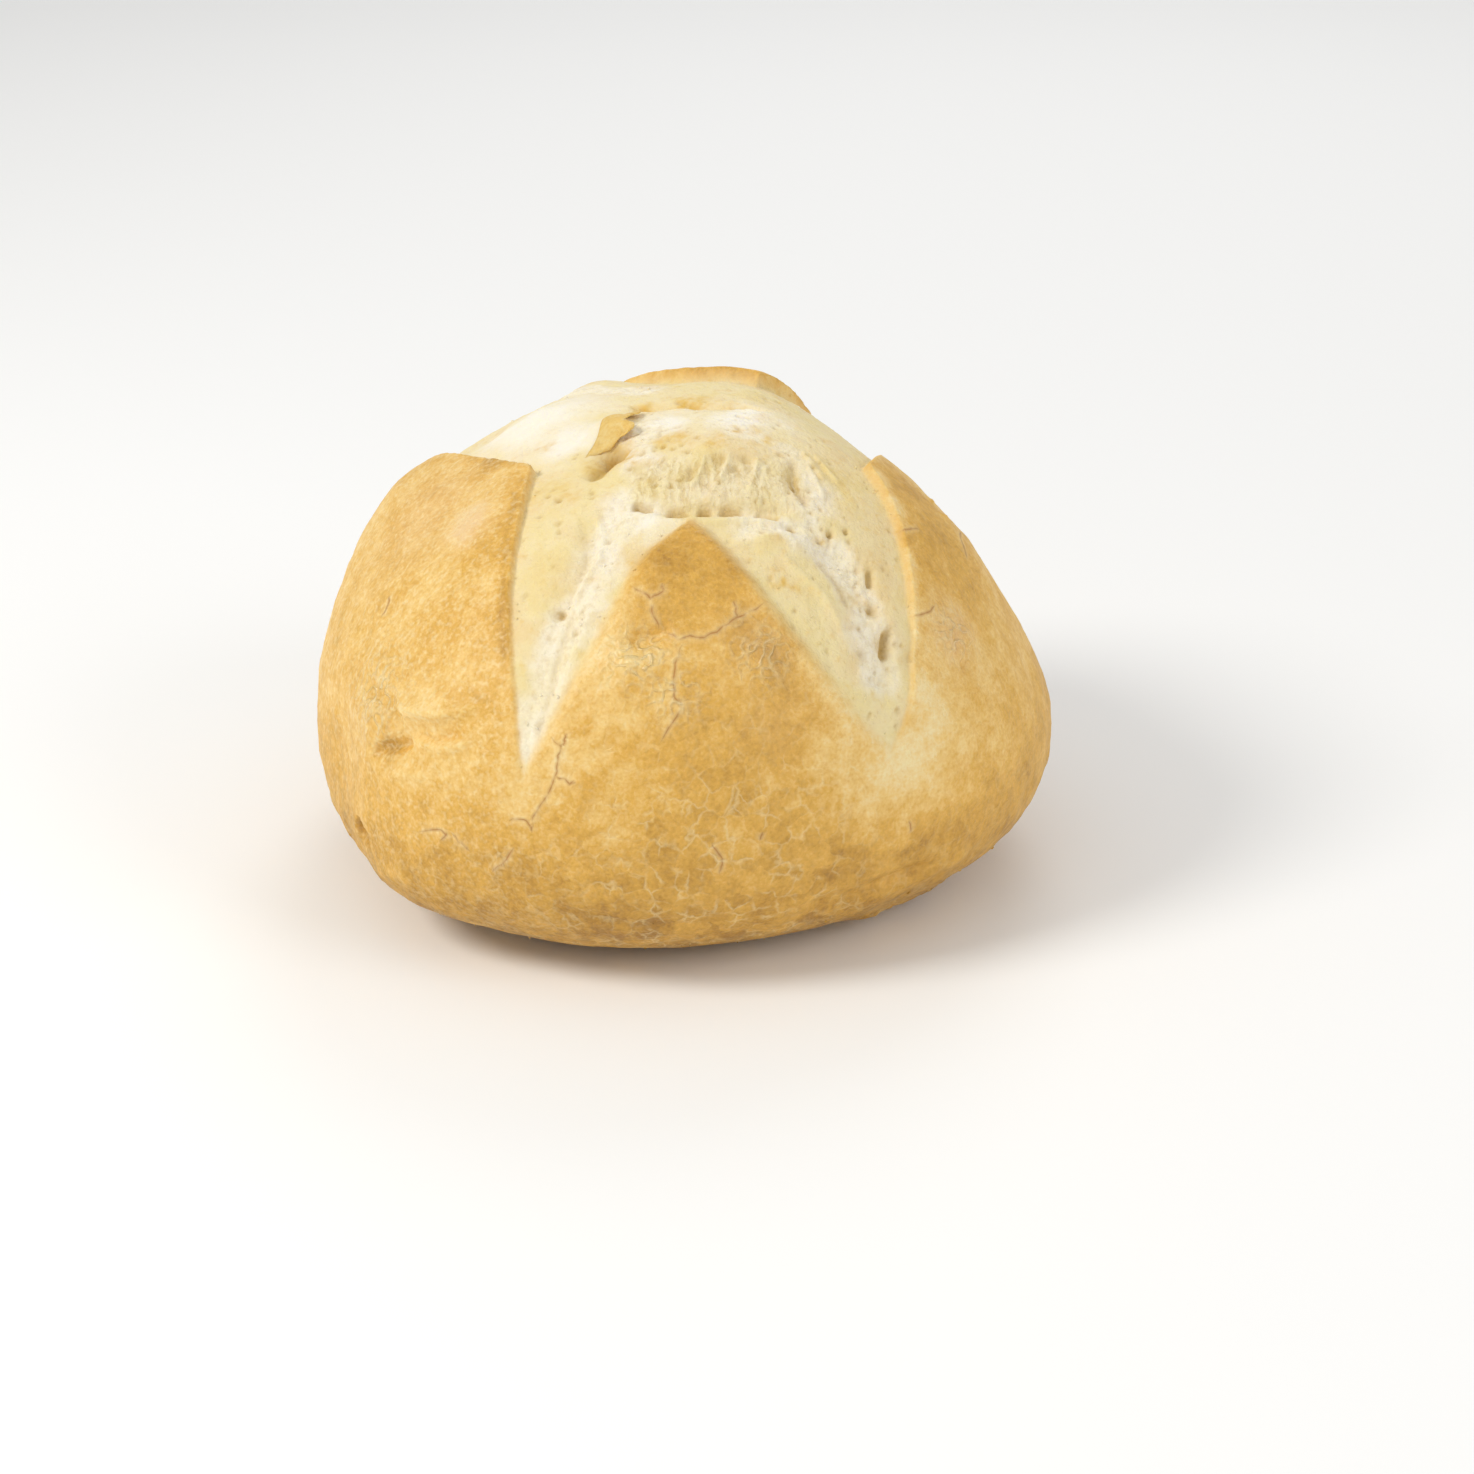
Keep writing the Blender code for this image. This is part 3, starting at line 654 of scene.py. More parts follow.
def path_share(points, path, half_width, taper=5.0, power=2):
    """1 on the path, fading to 0 beyond its half width, and narrower and weaker towards tapered ends."""
    share = np.zeros(len(points))
    close = close_to(points, path, 2.6 * half_width)
    if len(close):
        away, along, _ = nearest(points[close], path)
        ends = smooth_step(taper * along) * smooth_step(taper * (1.0 - along)) if taper else 1.0
        share[close] = ends * np.exp(-((away / (half_width * (0.35 + 0.65 * ends))) ** power))
    return share


def spot_share(points, place, half_width):
    """1 at the place, fading to 0 beyond its half width."""
    away = np.linalg.norm(points - skin([place]), axis=1)
    return np.exp(-((away / half_width) ** 2))


def near_small_form(points):
    """Whether each point lies on a form that needs the smallest cells."""
    found = np.zeros(len(points), bool)
    for through, half_width, _ in FOLDS + FINE_FOLDS:
        if half_width < SMALL_FORM:
            found |= path_share(points, skin(curve(through)), half_width, 0.0) > 0.1
    for place, half_width, _ in SWELLINGS + PORES:
        if half_width < SMALL_FORM:
            found |= spot_share(points, place, half_width) > 0.1
    return found


def scattered_pores():
    """Places and radii of the small pores in the crumb."""
    rng = np.random.default_rng(PORE_SEED)
    places = np.column_stack((rng.uniform(-52, 46, 6 * PORE_COUNT), rng.uniform(-72, 58, 6 * PORE_COUNT)))
    off_swelling = places[:, 1] < 12.0 + 0.6 * places[:, 0]  # the swelling at the back left is smooth
    places = places[inside(places, star()) & off_swelling][:PORE_COUNT]
    share = rng.random(len(places)) ** 2.2
    return places, PORE_RADII[0] + (PORE_RADII[1] - PORE_RADII[0]) * share


def crack_paths():
    """Each crack as a ragged run of places, with kinks."""
    paths = []
    for number, through in enumerate(CRACKS):
        ends = np.array(through)
        path = np.vstack([ends[:-1] + share * np.diff(ends, axis=0) for share in (0.0, 0.3, 0.62)])
        path = np.vstack((path.reshape(3, -1, 2).transpose(1, 0, 2).reshape(-1, 2), ends[-1:]))
        depth = np.column_stack((7.3 * path, np.full(len(path), 3.7 * number)))
        wander = np.column_stack((ripple(depth, 1.0, 40 + number), ripple(depth, 1.0, 60 + number)))
        paths.append(path + CRACK_RAGGED * wander)
    return paths


def crack_share(points, half_width):
    """1 along the middle of each crack, fading to 0 beyond the half width."""
    share = np.zeros(len(points))
    for path in crack_paths():
        share = np.maximum(share, path_share(points, skin(path), half_width, 6.0))
    return share


def strayed(points):
    """The points moved by slow noise, so that a patch measured with them has a wandering edge."""
    wander = []
    for seed in (111, 121, 131):
        wander.append(ripple(points, 0.0085, seed) + 0.5 * ripple(points, 0.0030, seed + 3))
    return points + PATCH_WANDER * np.column_stack(wander)


def strongest(points, spots, spread=1.0):
    """How strongly the strongest of the spots marks each point: place, half width and strength."""
    share = np.zeros(len(points))
    for place, half_width, strength in spots:
        share = np.maximum(share, strength * spot_share(points, place, spread * half_width))
    return share


def torn_share(points):
    """1 where the crumb is torn open, and 0 where its skin is whole."""
    share = np.zeros(len(points))
    for through, half_width in TORN_BANDS:
        share = np.maximum(share, path_share(points, skin(curve(through)), half_width, 0.0, 4))
    return share


def fibre_frame(points):
    """Coordinates that fan out from behind the mound: across the fibres, along them, and height."""
    hub = skin([(-2, 30)])[0]
    offset = points - hub
    turn = np.arctan2(offset[:, 0], -offset[:, 1])
    reach = np.linalg.norm(offset[:, :2], axis=1)
    return np.column_stack((turn * 0.075, reach, points[:, 2]))


def crumb_relief(points, crumb, loose, fine_folds):
    """Height of the torn crumb's lumps, strands and pores, how much painted shade each spot gets in its
    furrows, pores and pits, how much it is torn, and how far it is on the mound's torn front face, where
    strands hang down from the brow."""
    torn = torn_share(loose) * crumb
    face = path_share(loose, skin(curve(MOUND_FACE[0])), MOUND_FACE[1], 7.0, 4) * crumb
    mound = np.maximum(spot_share(points, (-2, -24), 0.016), spot_share(points, (4, -27), 0.013)) * crumb
    lumps = rough(points, LUMPS[0], 21, 3)
    grains = rough(points, GRAINS[0], 25, 2)
    fibres = fibre_frame(0.6 * points + 0.4 * loose)
    patchy = smooth_step(0.75 + 0.9 * rough(points, STRAND_BREAKS, 35, 2))
    strands = ridged(fibres, FINE_STRANDS, 29, 1) + 0.7 * ridged(fibres, COARSE_STRANDS, 31, 1)
    height = torn * (1.0 - 0.5 * face) * (LUMPS[1] * lumps + GRAINS[1] * grains)
    height += face * patchy * (STRAND_HEIGHT * (strands - STRAND_LEVEL))
    height += mound * (1.0 - face) * MOUND_LUMPS_HEIGHT * lumps
    height += crumb * (1.0 - torn) * SMOOTH_CRUMB[1] * rough(points, SMOOTH_CRUMB[0], 33, 3)
    # Painted shade in the crumb's furrows and pores
    hollow = np.zeros(len(points))
    for share, rise in fine_folds:
        height += rise * share * crumb
        hollow = np.maximum(hollow, share * crumb * np.clip(-rise / 0.003, 0.0, 1.0))
    small_places, small_radii = scattered_pores()
    in_crumb = np.flatnonzero(crumb > 0.5)
    for centre, radius in zip(skin(small_places), small_radii):
        away = np.linalg.norm(points[in_crumb] - centre, axis=1)
        close = in_crumb[away < 3.0 * radius]
        share = np.exp(-((away[away < 3.0 * radius] / radius) ** 2))
        height[close] -= 0.9 * radius * share
        hollow[close] = np.maximum(hollow[close], 0.55 * share)
    # Painted shadow of the curled flake in the pit under it
    hollow = np.maximum(hollow, 0.8 * spot_share(points, (-21.5, -16.0), 0.0038))
    return height, hollow, torn, face


def crust_relief(points, crust, low, wrinkled, fine_folds):
    """Height of the crust's slow waves, blisters and creases, and where it is creased: above nought on a
    ridge, below it in a furrow. The paint turns this into painted highlight on the ridges and painted
    shade in the furrows."""
    height = CRUST_WAVES[1] * rough(points, CRUST_WAVES[0], 51, 2)
    height += CRUST_BLISTERS[1] * rough(points, CRUST_BLISTERS[0], 55, 2)
    height += low * LOW_CRUST_WAVES[1] * rough(points, LOW_CRUST_WAVES[0], 58, 2)
    height += wrinkled * WRINKLES[1] * ridged(points, WRINKLES[0], 63, 2)
    crease = np.zeros(len(points))
    for share, rise in fine_folds:
        height += rise * share
        crease += np.clip(rise / 0.0022, -1.0, 1.0) * share
    return crust * height, crust * crease


def foot_relief(points):
    """How far the foot's rim stands out level with the table: a ragged edge, flared at the front right."""
    through, half_width, rise = FOOT_RIM
    ragged = rough(points, 0.0070, 81, 3)
    near_table = smooth_step((0.013 - points[:, 2]) / 0.009)
    flare = path_share(points, skin(curve(through)), half_width, 5.0)
    return FOOT_RAGGED * ragged * near_table + rise * flare * (1.0 + 0.5 * ragged)


def bake_of(points, loose):
    """How deeply the crust is baked, from 0 for pale to 1 for dark, with painted shade in one dent of the
    left lobe and along the sharp crease at the foot's front right.
    """
    bake_and_shade = np.full(len(points), BAKE_LEVEL)
    for place, half_width, change in BAKE_PATCHES:
        bake_and_shade += change * spot_share(loose, place, half_width)
    for through, half_width, change in BAKE_BANDS:
        bake_and_shade += change * path_share(points, skin(curve(through)), half_width, 6.0)
    return np.clip(bake_and_shade, 0.0, 1.0)


def loaf_surface(places):
    """Points of the finished loaf at the given places, and what paints them, as named values."""
    points = skin(places)
    _, _, normal = slopes(places)
    gap, (proud, drop, half_step, hang), over = rim_facts(places, points, normal)
    steps = gap / half_step
    crust = smooth_step(0.5 + 0.5 * steps)
    crumb = 1.0 - crust
    height = crust * proud * np.exp(-((np.maximum(gap, 0.0) / PLATE_REACH) ** 2)) - crumb * drop
    for through, half_width, rise in FOLDS:
        height += rise * path_share(points, skin(curve(through)), half_width, 4.0)
    for place, half_width, rise in SWELLINGS:
        height += rise * spot_share(points, place, half_width)
    fine_folds = [(path_share(points, skin(curve(run)), width), rise) for run, width, rise in FINE_FOLDS]
    loose = strayed(points)
    crumb_height, hollow, torn, face = crumb_relief(points, crumb, loose, fine_folds)
    low = smooth_step((0.075 - points[:, 2]) / 0.05)
    wrinkled = strongest(points, WRINKLED_SPOTS)
    crust_height, crease = crust_relief(points, crust, low, wrinkled, fine_folds)
    height += crumb_height + crust_height
    for place, half_width, depth in PORES:
        share = spot_share(points, place, half_width)
        height -= depth * share
        # painted shade in the pores
        hollow = np.maximum(hollow, share * crumb * np.clip(depth / 0.0022, 0.0, 1.0))
    crack = crack_share(points, CRACK_HALF_WIDTH) * crust
    crack *= smooth_step(0.8 + 0.9 * ripple(points, 0.0021, 77))
    halo = crack_share(points, HALO_HALF_WIDTH) * crust
    height += HALO_RISE * halo - CRACK_DEPTH * crack

    # The lip rolls over the crumb, and the wall below it is cut back
    overhang = np.exp(-(((steps - 1.0) / 0.9) ** 2)) - 0.6 * np.exp(-(((steps + 0.6) / 0.6) ** 2))
    above_table = smooth_step(points[:, 2] / (0.5 * BELLY_HEIGHT))
    moved = points + (height * above_table)[:, None] * normal
    moved += (hang * overhang * above_table)[:, None] * over
    outwards = points[:, :2] / np.maximum(np.linalg.norm(points[:, :2], axis=1, keepdims=True), 1e-9)
    moved[:, :2] += foot_relief(points)[:, None] * outwards
    moved[:, 2] = np.maximum(moved[:, 2], 0.0)

    # Paint
    toast = strongest(loose, TOASTED_SPOTS, TOAST_SPREAD)
    toast *= 0.45 + 0.55 * smooth_step(0.5 + 0.9 * rough(points, 0.0020, 71, 2))
    white = np.maximum(0.62 * torn * (1.0 - 0.6 * face), strongest(loose, WHITE_SPOTS))
    wall = np.exp(-(((steps + 0.1) / 0.8) ** 2)) * smooth_step(1.0 - half_step / 0.0022)
    plated = smooth_step((0.115 - points[:, 2]) / 0.08)
    front = smooth_step((-points[:, 1] + 0.01) / 0.06)
    left = smooth_step((-points[:, 0] - 0.01) / 0.05)
    right = smooth_step((points[:, 0] - 0.025) / 0.045)
    foot = smooth_step((0.030 - points[:, 2]) / 0.028)
    # Painted shade: the crust is darker towards the bottom, from 80 mm down to the table
    shade = smooth_step((0.080 - points[:, 2]) / 0.080)
    clinging = 0.5 * torn + 0.9 * np.exp(-(((steps + 1.2) / 1.6) ** 2)) + 0.25 * foot * front
    off_table = smooth_step((points[:, 2] - 0.002) / 0.003)
    paint = {
        "crust": smooth_step(0.5 + 0.5 * (steps + 0.15)),
        # the creases add painted shade in the crust's furrows and painted highlight on its ridges
        "bake_and_shade": bake_of(points, loose) - 0.16 * crease,
        "torn": torn,
        "white": white,
        "toast": toast,
        # painted shade in the crumb's hollows
        "hollow": np.clip(hollow, 0.0, 1.0),
        # the cracks, which get painted shade
        "crack": np.clip(crack, 0.0, 1.0),
        "halo": np.clip(halo, 0.0, 1.0),
        "wall": np.clip(wall, 0.0, 1.0),
        "tan": strongest(loose, TAN_PATCHES),
        "plates": plated * (0.35 + 0.65 * front) * (1.0 - 0.6 * left) * (1.0 - 0.75 * right),
        "scales": foot * (0.4 + 0.6 * front),
        "flecks": (0.22 + 0.78 * left) * (1.0 - 0.7 * shade),
        # painted shade towards the bottom
        "foot": shade,
        "wrinkles": wrinkled,
        "strands": face,
        "crumbs": np.clip(clinging, 0.0, 1.0) * off_table,
    }
    return moved, paint


def square_to_places(corner_u, corner_v):
    """Places for a square of points from -1 to 1: the square's border becomes the loaf's foot."""
    share = np.maximum(np.abs(corner_u), np.abs(corner_v))
    wide = np.abs(corner_u) >= np.abs(corner_v)
    slant = np.where(wide, corner_v, corner_u) / np.maximum(share, 1e-12)
    signed = np.sign(np.where(wide, corner_u, corner_v))
    quarter = signed * slant * np.pi / 4
    turn = np.where(wide, np.where(corner_u >= 0, quarter, np.pi + quarter), signed * np.pi / 2 - quarter)
    lean = foot_lean(turn) * share**CROWDING
    return np.column_stack((lean * np.cos(turn), lean * np.sin(turn)))


def contour(places, steps, number, level):
    """Places where the lines of the grid cross a level of the cut, counted in half steps from its rim."""
    pairs = (
        (number[:, :-1], number[:, 1:]),
        (number[:-1], number[1:]),
        (number[:-1, :-1], number[1:, 1:]),
        (number[:-1, 1:], number[1:, :-1]),
    )
    found = []
    for first, second in pairs:
        first, second = first.ravel(), second.ravel()
        crossed = (steps[first] - level) * (steps[second] - level) < 0.0
        first, second = first[crossed], second[crossed]
        share = ((level - steps[first]) / (steps[second] - steps[first]))[:, None]
        found.append(places[first] + share * (places[second] - places[first]))
    return np.vstack(found)


def spaced(places, least):
    """The places in their order along the rim, without those nearer than this to one that is kept."""
    outline = star()
    _, along, _ = nearest(skin(places), skin(np.vstack((outline, outline[:1]))))
    places = places[np.argsort(along)]
    points = skin(places)
    kept = []
    for index, point in enumerate(points):
        recent = kept[-40:] + kept[:3]
        if not kept or np.linalg.norm(points[recent] - point, axis=1).min() > least:
            kept.append(index)
    return places[kept]


def crack_places():
    """Places in rows along each crack."""
    found = []
    for path in crack_paths():
        points = skin(path)
        length = np.concatenate(([0.0], np.cumsum(np.linalg.norm(np.diff(points, axis=0), axis=1))))
        stops = np.linspace(0.0, length[-1], max(2, int(length[-1] / CRACK_SPACING)))
        middle = np.column_stack([np.interp(stops, length, path[:, axis]) for axis in range(2)])
        east, north, normal = slopes(middle)
        side = np.cross(normal, np.gradient(skin(middle), axis=0))
        side /= np.linalg.norm(side, axis=1, keepdims=True)
        area = np.linalg.norm(np.cross(east, north), axis=1)
        to_east = (np.cross(side, north) * normal).sum(axis=1) / area
        to_north = (np.cross(east, side) * normal).sum(axis=1) / area
        for offset in CRACK_ROWS:
            found.append(middle + offset * np.column_stack((to_east, to_north)))
    return np.vstack(found)


def far_from(points, others, least):
    """Whether each point is further than this from all the others."""
    cells = {}
    for other in others:
        cells.setdefault(tuple(np.floor(other / least).astype(int)), []).append(other)
    clear = np.ones(len(points), bool)
    corners = np.floor(points / least).astype(int)
    steps = list(np.ndindex(3, 3, 3))
    for index, corner in enumerate(map(tuple, corners)):
        for step in steps:
            group = cells.get((corner[0] + step[0] - 1, corner[1] + step[1] - 1, corner[2] + step[2] - 1))
            if group and min(((other - points[index]) ** 2).sum() for other in group) < least * least:
                clear[index] = False
                break
    return clear


def mesh_places():
    """Places for all points of the dome, the border's first."""
    side = FINEST * GRID + 1
    line = np.linspace(-1.0, 1.0, side)
    across, up = (values.ravel() for values in np.meshgrid(line, line))
    column, row = (values.ravel() for values in np.meshgrid(range(side), range(side)))
    places = square_to_places(across, up)
    points = skin(places)
    number = np.arange(side * side).reshape(side, side)
    outermost = np.maximum(np.abs(across), np.abs(up)) > 1.0 - 1e-9
    on_grid = (column % FINEST == 0) & (row % FINEST == 0)
    border = np.flatnonzero(outermost & on_grid)
    border = border[np.argsort(np.arctan2(places[border, 1], places[border, 0]))]

    # The cut is measured on a coarse grid first, and then only where the fine one needs it
    coarse = np.flatnonzero(on_grid)
    _, _, coarse_normal = slopes(places[coarse])
    coarse_gap = rim_facts(places[coarse], points[coarse], coarse_normal)[0].reshape(GRID + 1, GRID + 1)
    nearest_row, nearest_column = (np.minimum((part + FINEST // 2) // FINEST, GRID) for part in (row, column))
    parent = coarse_gap[nearest_row, nearest_column]
    gap = parent.copy()
    steps = FAR_STEPS * np.sign(parent)
    close = np.flatnonzero(np.abs(parent) < RIM_REACH)
    _, _, close_normal = slopes(places[close])
    close_gap, close_sizes, _ = rim_facts(places[close], points[close], close_normal)
    gap[close] = close_gap
    steps[close] = close_gap / close_sizes[2]

    rows = [spaced(contour(places, steps, number, level), ROW_SPACING) for level in ROW_LEVELS]
    rows.append(crack_places())
    rows = np.vstack(rows)
    halfway = FINEST // 2
    half = (column % halfway == 0) & (row % halfway == 0)
    wanted = half | (gap < QUARTER_CELL_REACH)
    wanted[~wanted] = near_small_form(points[~wanted])
    wanted &= ~((steps < ROW_LEVELS[0] + 0.2) & (steps > ROW_LEVELS[-1] - 0.2))
    wanted[border] = False
    wanted[outermost] = False
    chosen = np.flatnonzero(wanted)
    chosen = chosen[far_from(points[chosen], skin(rows), CLEARANCE)]
    return np.vstack([places[border], places[chosen], rows]), len(border)


def close_base(mesh, border):
    """The underside: rings with half as many points each time, slightly hollow in the middle."""
    middle = np.mean([vertex.co for vertex in border], axis=0)
    middle[2] = 0.0
    outer = sorted(border, key=lambda vertex: np.arctan2(vertex.co.y - middle[1], vertex.co.x - middle[0]))
    depth = 0.0
    while len(outer) % 2 == 0 and len(outer) > 20:
        inner = []
        depth = BASE_HOLLOW - 0.5 * (BASE_HOLLOW - depth)
        for vertex in outer[::2]:
            spot = middle + BASE_SHRINK * (np.array(vertex.co) - middle)
            inner.append(mesh.verts.new((spot[0], spot[1], depth)))
        for index, vertex in enumerate(inner):
            after = inner[(index + 1) % len(inner)]
            first, second, third = (outer[(2 * index + step) % len(outer)] for step in range(3))
            mesh.faces.new((second, first, vertex))
            mesh.faces.new((second, vertex, after))
            mesh.faces.new((third, second, after))
        outer = inner
    hub = mesh.verts.new(np.mean([vertex.co for vertex in outer], axis=0))
    for index, vertex in enumerate(outer):
        mesh.faces.new((outer[(index + 1) % len(outer)], vertex, hub))


def link_mesh(name, mesh, paint):
    """Makes an object of the bmesh, with its paint as attributes of its points. Points that the paint
    doesn't reach, such as the base's, are plain crust."""
    data = bpy.data.meshes.new(name)
    mesh.to_mesh(data)
    mesh.free()
    for kind, values in paint.items():
        rest = np.full(len(data.vertices) - len(values), PLAIN_CRUST.get(kind, 0.0))
        attribute = data.attributes.new(kind, "FLOAT", "POINT")
        attribute.data.foreach_set("value", np.concatenate((values, rest)))
    data.shade_smooth()
    made = bpy.data.objects.new(name, data)
    bpy.context.scene.collection.objects.link(made)
    return made


def build_loaf():
    """The loaf's skin, closed by its base."""
    places, border_count = mesh_places()
    triangles_inside = 1
    flat = [Vector(place) for place in places / 90.0]
    found, _, faces, *_ = delaunay_2d_cdt(flat, [], [list(range(border_count))], triangles_inside, 1e-7)
    points, paint = loaf_surface(np.array(found) * 90.0)
    mesh = bmesh.new()
    verts = [mesh.verts.new(point) for point in points]
    for face in faces:
        mesh.faces.new([verts[index] for index in face])
    border = [vertex for vertex in verts if any(edge.is_boundary for edge in vertex.link_edges)]
    for vertex in border:
        vertex.co.z = 0.0
    close_base(mesh, border)
    bmesh.ops.recalc_face_normals(mesh, faces=mesh.faces)
    return link_mesh("loaf_skin", mesh, paint)


def build_flake():
    """A curled flake of crust that stands up off the crumb: a thin plate, held along its left edge."""
    across, along = (size + 1 for size in FLAKE_CELLS)
    grid = np.meshgrid(np.linspace(0.0, 1.0, across), np.linspace(0.0, 1.0, along))
    share_across, share_along = (values.ravel() for values in grid)
    edge_line = np.column_stack((0.0 * share_along, 5.0 * share_along, 0.0 * share_along))
    end_line = np.column_stack((5.0 * share_across, 0.0 * share_across, 0.0 * share_across))
    notch = np.exp(-(((share_along - 0.48) / 0.13) ** 2))
    at = share_across * (1.0 + 0.22 * ripple(edge_line, 1.0, 91) - 0.34 * notch)
    end = share_along + 0.10 * ripple(end_line, 1.0, 93) * (1.0 - 2.0 * share_along)
    corners = np.array(FLAKE_CORNERS)
    front = corners[0] + at[:, None] * (corners[1] - corners[0])
    back = corners[3] + at[:, None] * (corners[2] - corners[3])
    places = front + end[:, None] * (back - front)
    points, _ = loaf_surface(places)
    _, _, normal = slopes(places)
    lift = FLAKE_LIFT[0] + share_along * (FLAKE_LIFT[1] - FLAKE_LIFT[0])
    dip = 0.0004 * ripple(points, 0.004, 95)
    points += (0.0001 + lift * share_across**1.6 + dip * share_across)[:, None] * normal
    mesh = bmesh.new()
    verts = [mesh.verts.new(point) for point in points]
    for row in range(along - 1):
        for column in range(across - 1):
            first = row * across + column
            corner_numbers = (first, first + 1, first + across + 1, first + across)
            mesh.faces.new([verts[index] for index in corner_numbers])
    mesh.normal_update()
    bmesh.ops.solidify(mesh, geom=mesh.faces[:], thickness=FLAKE_THICK)
    bmesh.ops.recalc_face_normals(mesh, faces=mesh.faces)
    count = len(mesh.verts)
    paint = {
        "crust": np.full(count, 0.75),
        "bake_and_shade": np.full(count, BAKE_LEVEL - 0.06),
        "toast": np.full(count, 0.8),
    }
    return link_mesh("curled_flake", mesh, paint)


def scatter_crumbs(loaf, material):
    """Small crumbs scattered by Geometry Nodes, each with the colour of the spot that it clings to."""
    tree = bpy.data.node_groups.new("clinging_crumbs", "GeometryNodeTree")
    values = {
        "Density": ("NodeSocketFloat", CRUMBS_PER_SQUARE_METRE),
        "Smallest": ("NodeSocketFloat", CRUMB_SIZES[0]),
        "Largest": ("NodeSocketFloat", CRUMB_SIZES[1]),
        "Seed": ("NodeSocketInt", CRUMB_SEED),
        "Material": ("NodeSocketMaterial", material),
    }
    tree.interface.new_socket("Loaf", in_out="INPUT", socket_type="NodeSocketGeometry")
    sockets = {}
    for name, (kind, _) in values.items():
        sockets[name] = tree.interface.new_socket(name, in_out="INPUT", socket_type=kind)
    tree.interface.new_socket("Crumbs", in_out="OUTPUT", socket_type="NodeSocketGeometry")
    given = add(tree, "NodeGroupInput")
    where = add(tree, "GeometryNodeInputNamedAttribute", {"Name": "crumbs"}, data_type="FLOAT")
    density = add(tree, "ShaderNodeMath", {0: where, 1: (given, "Density")}, operation="MULTIPLY")
    spots = add(
        tree,
        "GeometryNodeDistributePointsOnFaces",
        {"Mesh": (given, "Loaf"), "Density": density, "Seed": (given, "Seed")},
    )
    grain = add(tree, "GeometryNodeMeshIcoSphere", {"Radius": 1.0, "Subdivisions": 1})
    turn = add(
        tree,
        "FunctionNodeRandomValue",
        {0: CRUMB_TURNS[0], 1: CRUMB_TURNS[1]},
        data_type="FLOAT_VECTOR",
    )
    shape = add(
        tree,
        "FunctionNodeRandomValue",
        {0: CRUMB_SHAPES[0], 1: CRUMB_SHAPES[1], "Seed": CRUMB_SHAPE_SEED},
        data_type="FLOAT_VECTOR",
    )
    size = add(
        tree,
        "FunctionNodeRandomValue",
        {2: (given, "Smallest"), 3: (given, "Largest")},
        data_type="FLOAT",
    )
    scale = add(tree, "ShaderNodeVectorMath", {0: shape, "Scale": (size, 1)}, operation="SCALE")
    placed = add(
        tree,
        "GeometryNodeInstanceOnPoints",
        {"Points": spots, "Instance": grain, "Rotation": turn, "Scale": scale},
    )
    real = add(tree, "GeometryNodeRealizeInstances", {"Geometry": placed})
    finished = add(tree, "GeometryNodeSetMaterial", {"Geometry": real, "Material": (given, "Material")})
    add(tree, "NodeGroupOutput", {"Crumbs": finished})

    made = bpy.data.objects.new("clinging_crumbs", loaf.data)
    bpy.context.scene.collection.objects.link(made)
    modifier = made.modifiers.new("crumbs", "NODES")
    modifier.node_group = tree
    for name, (_, value) in values.items():
        modifier[sockets[name].identifier] = value
    graph = bpy.context.evaluated_depsgraph_get()
    mesh = bpy.data.meshes.new_from_object(made.evaluated_get(graph))
    made.modifiers.clear()
    made.data = mesh
    # The grain's own empty slot goes, so that the bread is the only one
    mesh.materials.pop(index=0)
    mesh.shade_smooth()
    return made


def linear(hex_colour):
    """An sRGB hex colour as linear red, green, blue and alpha."""
    values = [int(hex_colour[start : start + 2], 16) / 255.0 for start in (1, 3, 5)]
    light = [value / 12.92 if value <= 0.04045 else ((value + 0.055) / 1.055) ** 2.4 for value in values]
    return light + [1.0]


def add(tree, kind, inputs=None, **settings):
    """Adds a node. inputs gives a socket its value, or the node that feeds it, or (node, output)."""
    made = tree.nodes.new(kind)
    for name, value in settings.items():
        setattr(made, name, value)
    for socket, value in (inputs or {}).items():
        source = value if isinstance(value, tuple) else (value, 0)
        if isinstance(source[0], bpy.types.Node):
            tree.links.new(source[0].outputs[source[1]], made.inputs[socket])
        else:
            made.inputs[socket].default_value = value
    return made


def fill_ramp(ramp, stops):
    """Sets a colour ramp to the given (position, hex colour) stops."""
    elements = ramp.color_ramp.elements
    while len(elements) < len(stops):
        elements.new(0.5)
    for element, (position, colour) in zip(elements, stops):
        element.position = position
        element.color = linear(colour)


# Noise that colours and relief share: name, scale and detail. A scale of 100 gives humps 10 mm across
NOISES = (
    ("clouds", 80.0, 3.0),
    ("breaks", 170.0, 2.0),
    ("warp", 210.0, 3.0),
    ("mottle", 330.0, 3.0),
    ("blisters", 640.0, 1.0),
    ("grain", 1000.0, 2.0),
)
# How far each noise moves the bake, and how far painted shade darkens it towards the foot and in the cracks
BAKE_NOISES = (("clouds", 0.54), ("mottle", 0.46), ("grain", 0.36))
PAINTED_SHADES = (("foot", 0.42), ("crack", 0.25))
# Plates of crust 6 mm across, and scales of 3 mm by the foot: scale, where they are and their edges' width
PLATES = ((175.0, "plates", 0.10), (310.0, "scales", 0.13))
PLATE_SHADES = 0.18
# The crust's colours from the palest bake to the deepest
CRUST_STOPS = (
    (0.05, CRUST_PALE),
    (0.36, CRUST_STRAW),
    (0.56, CRUST_GOLD),
    (0.80, CRUST_BROWN),
    (1.0, CRUST_DARK),
)
PAINTS = (
    "crust", "bake_and_shade", "torn", "white", "toast", "hollow", "crack", "halo", "wall", "tan", "plates", "scales",
    "flecks", "foot", "wrinkles", "strands",
)
BREAD_VALUES = {
    "IOR": 1.45,
    "Subsurface Weight": 0.25,
    "Subsurface Radius": (1.0, 0.95, 0.45),
    "Subsurface Scale": 0.0022,
}


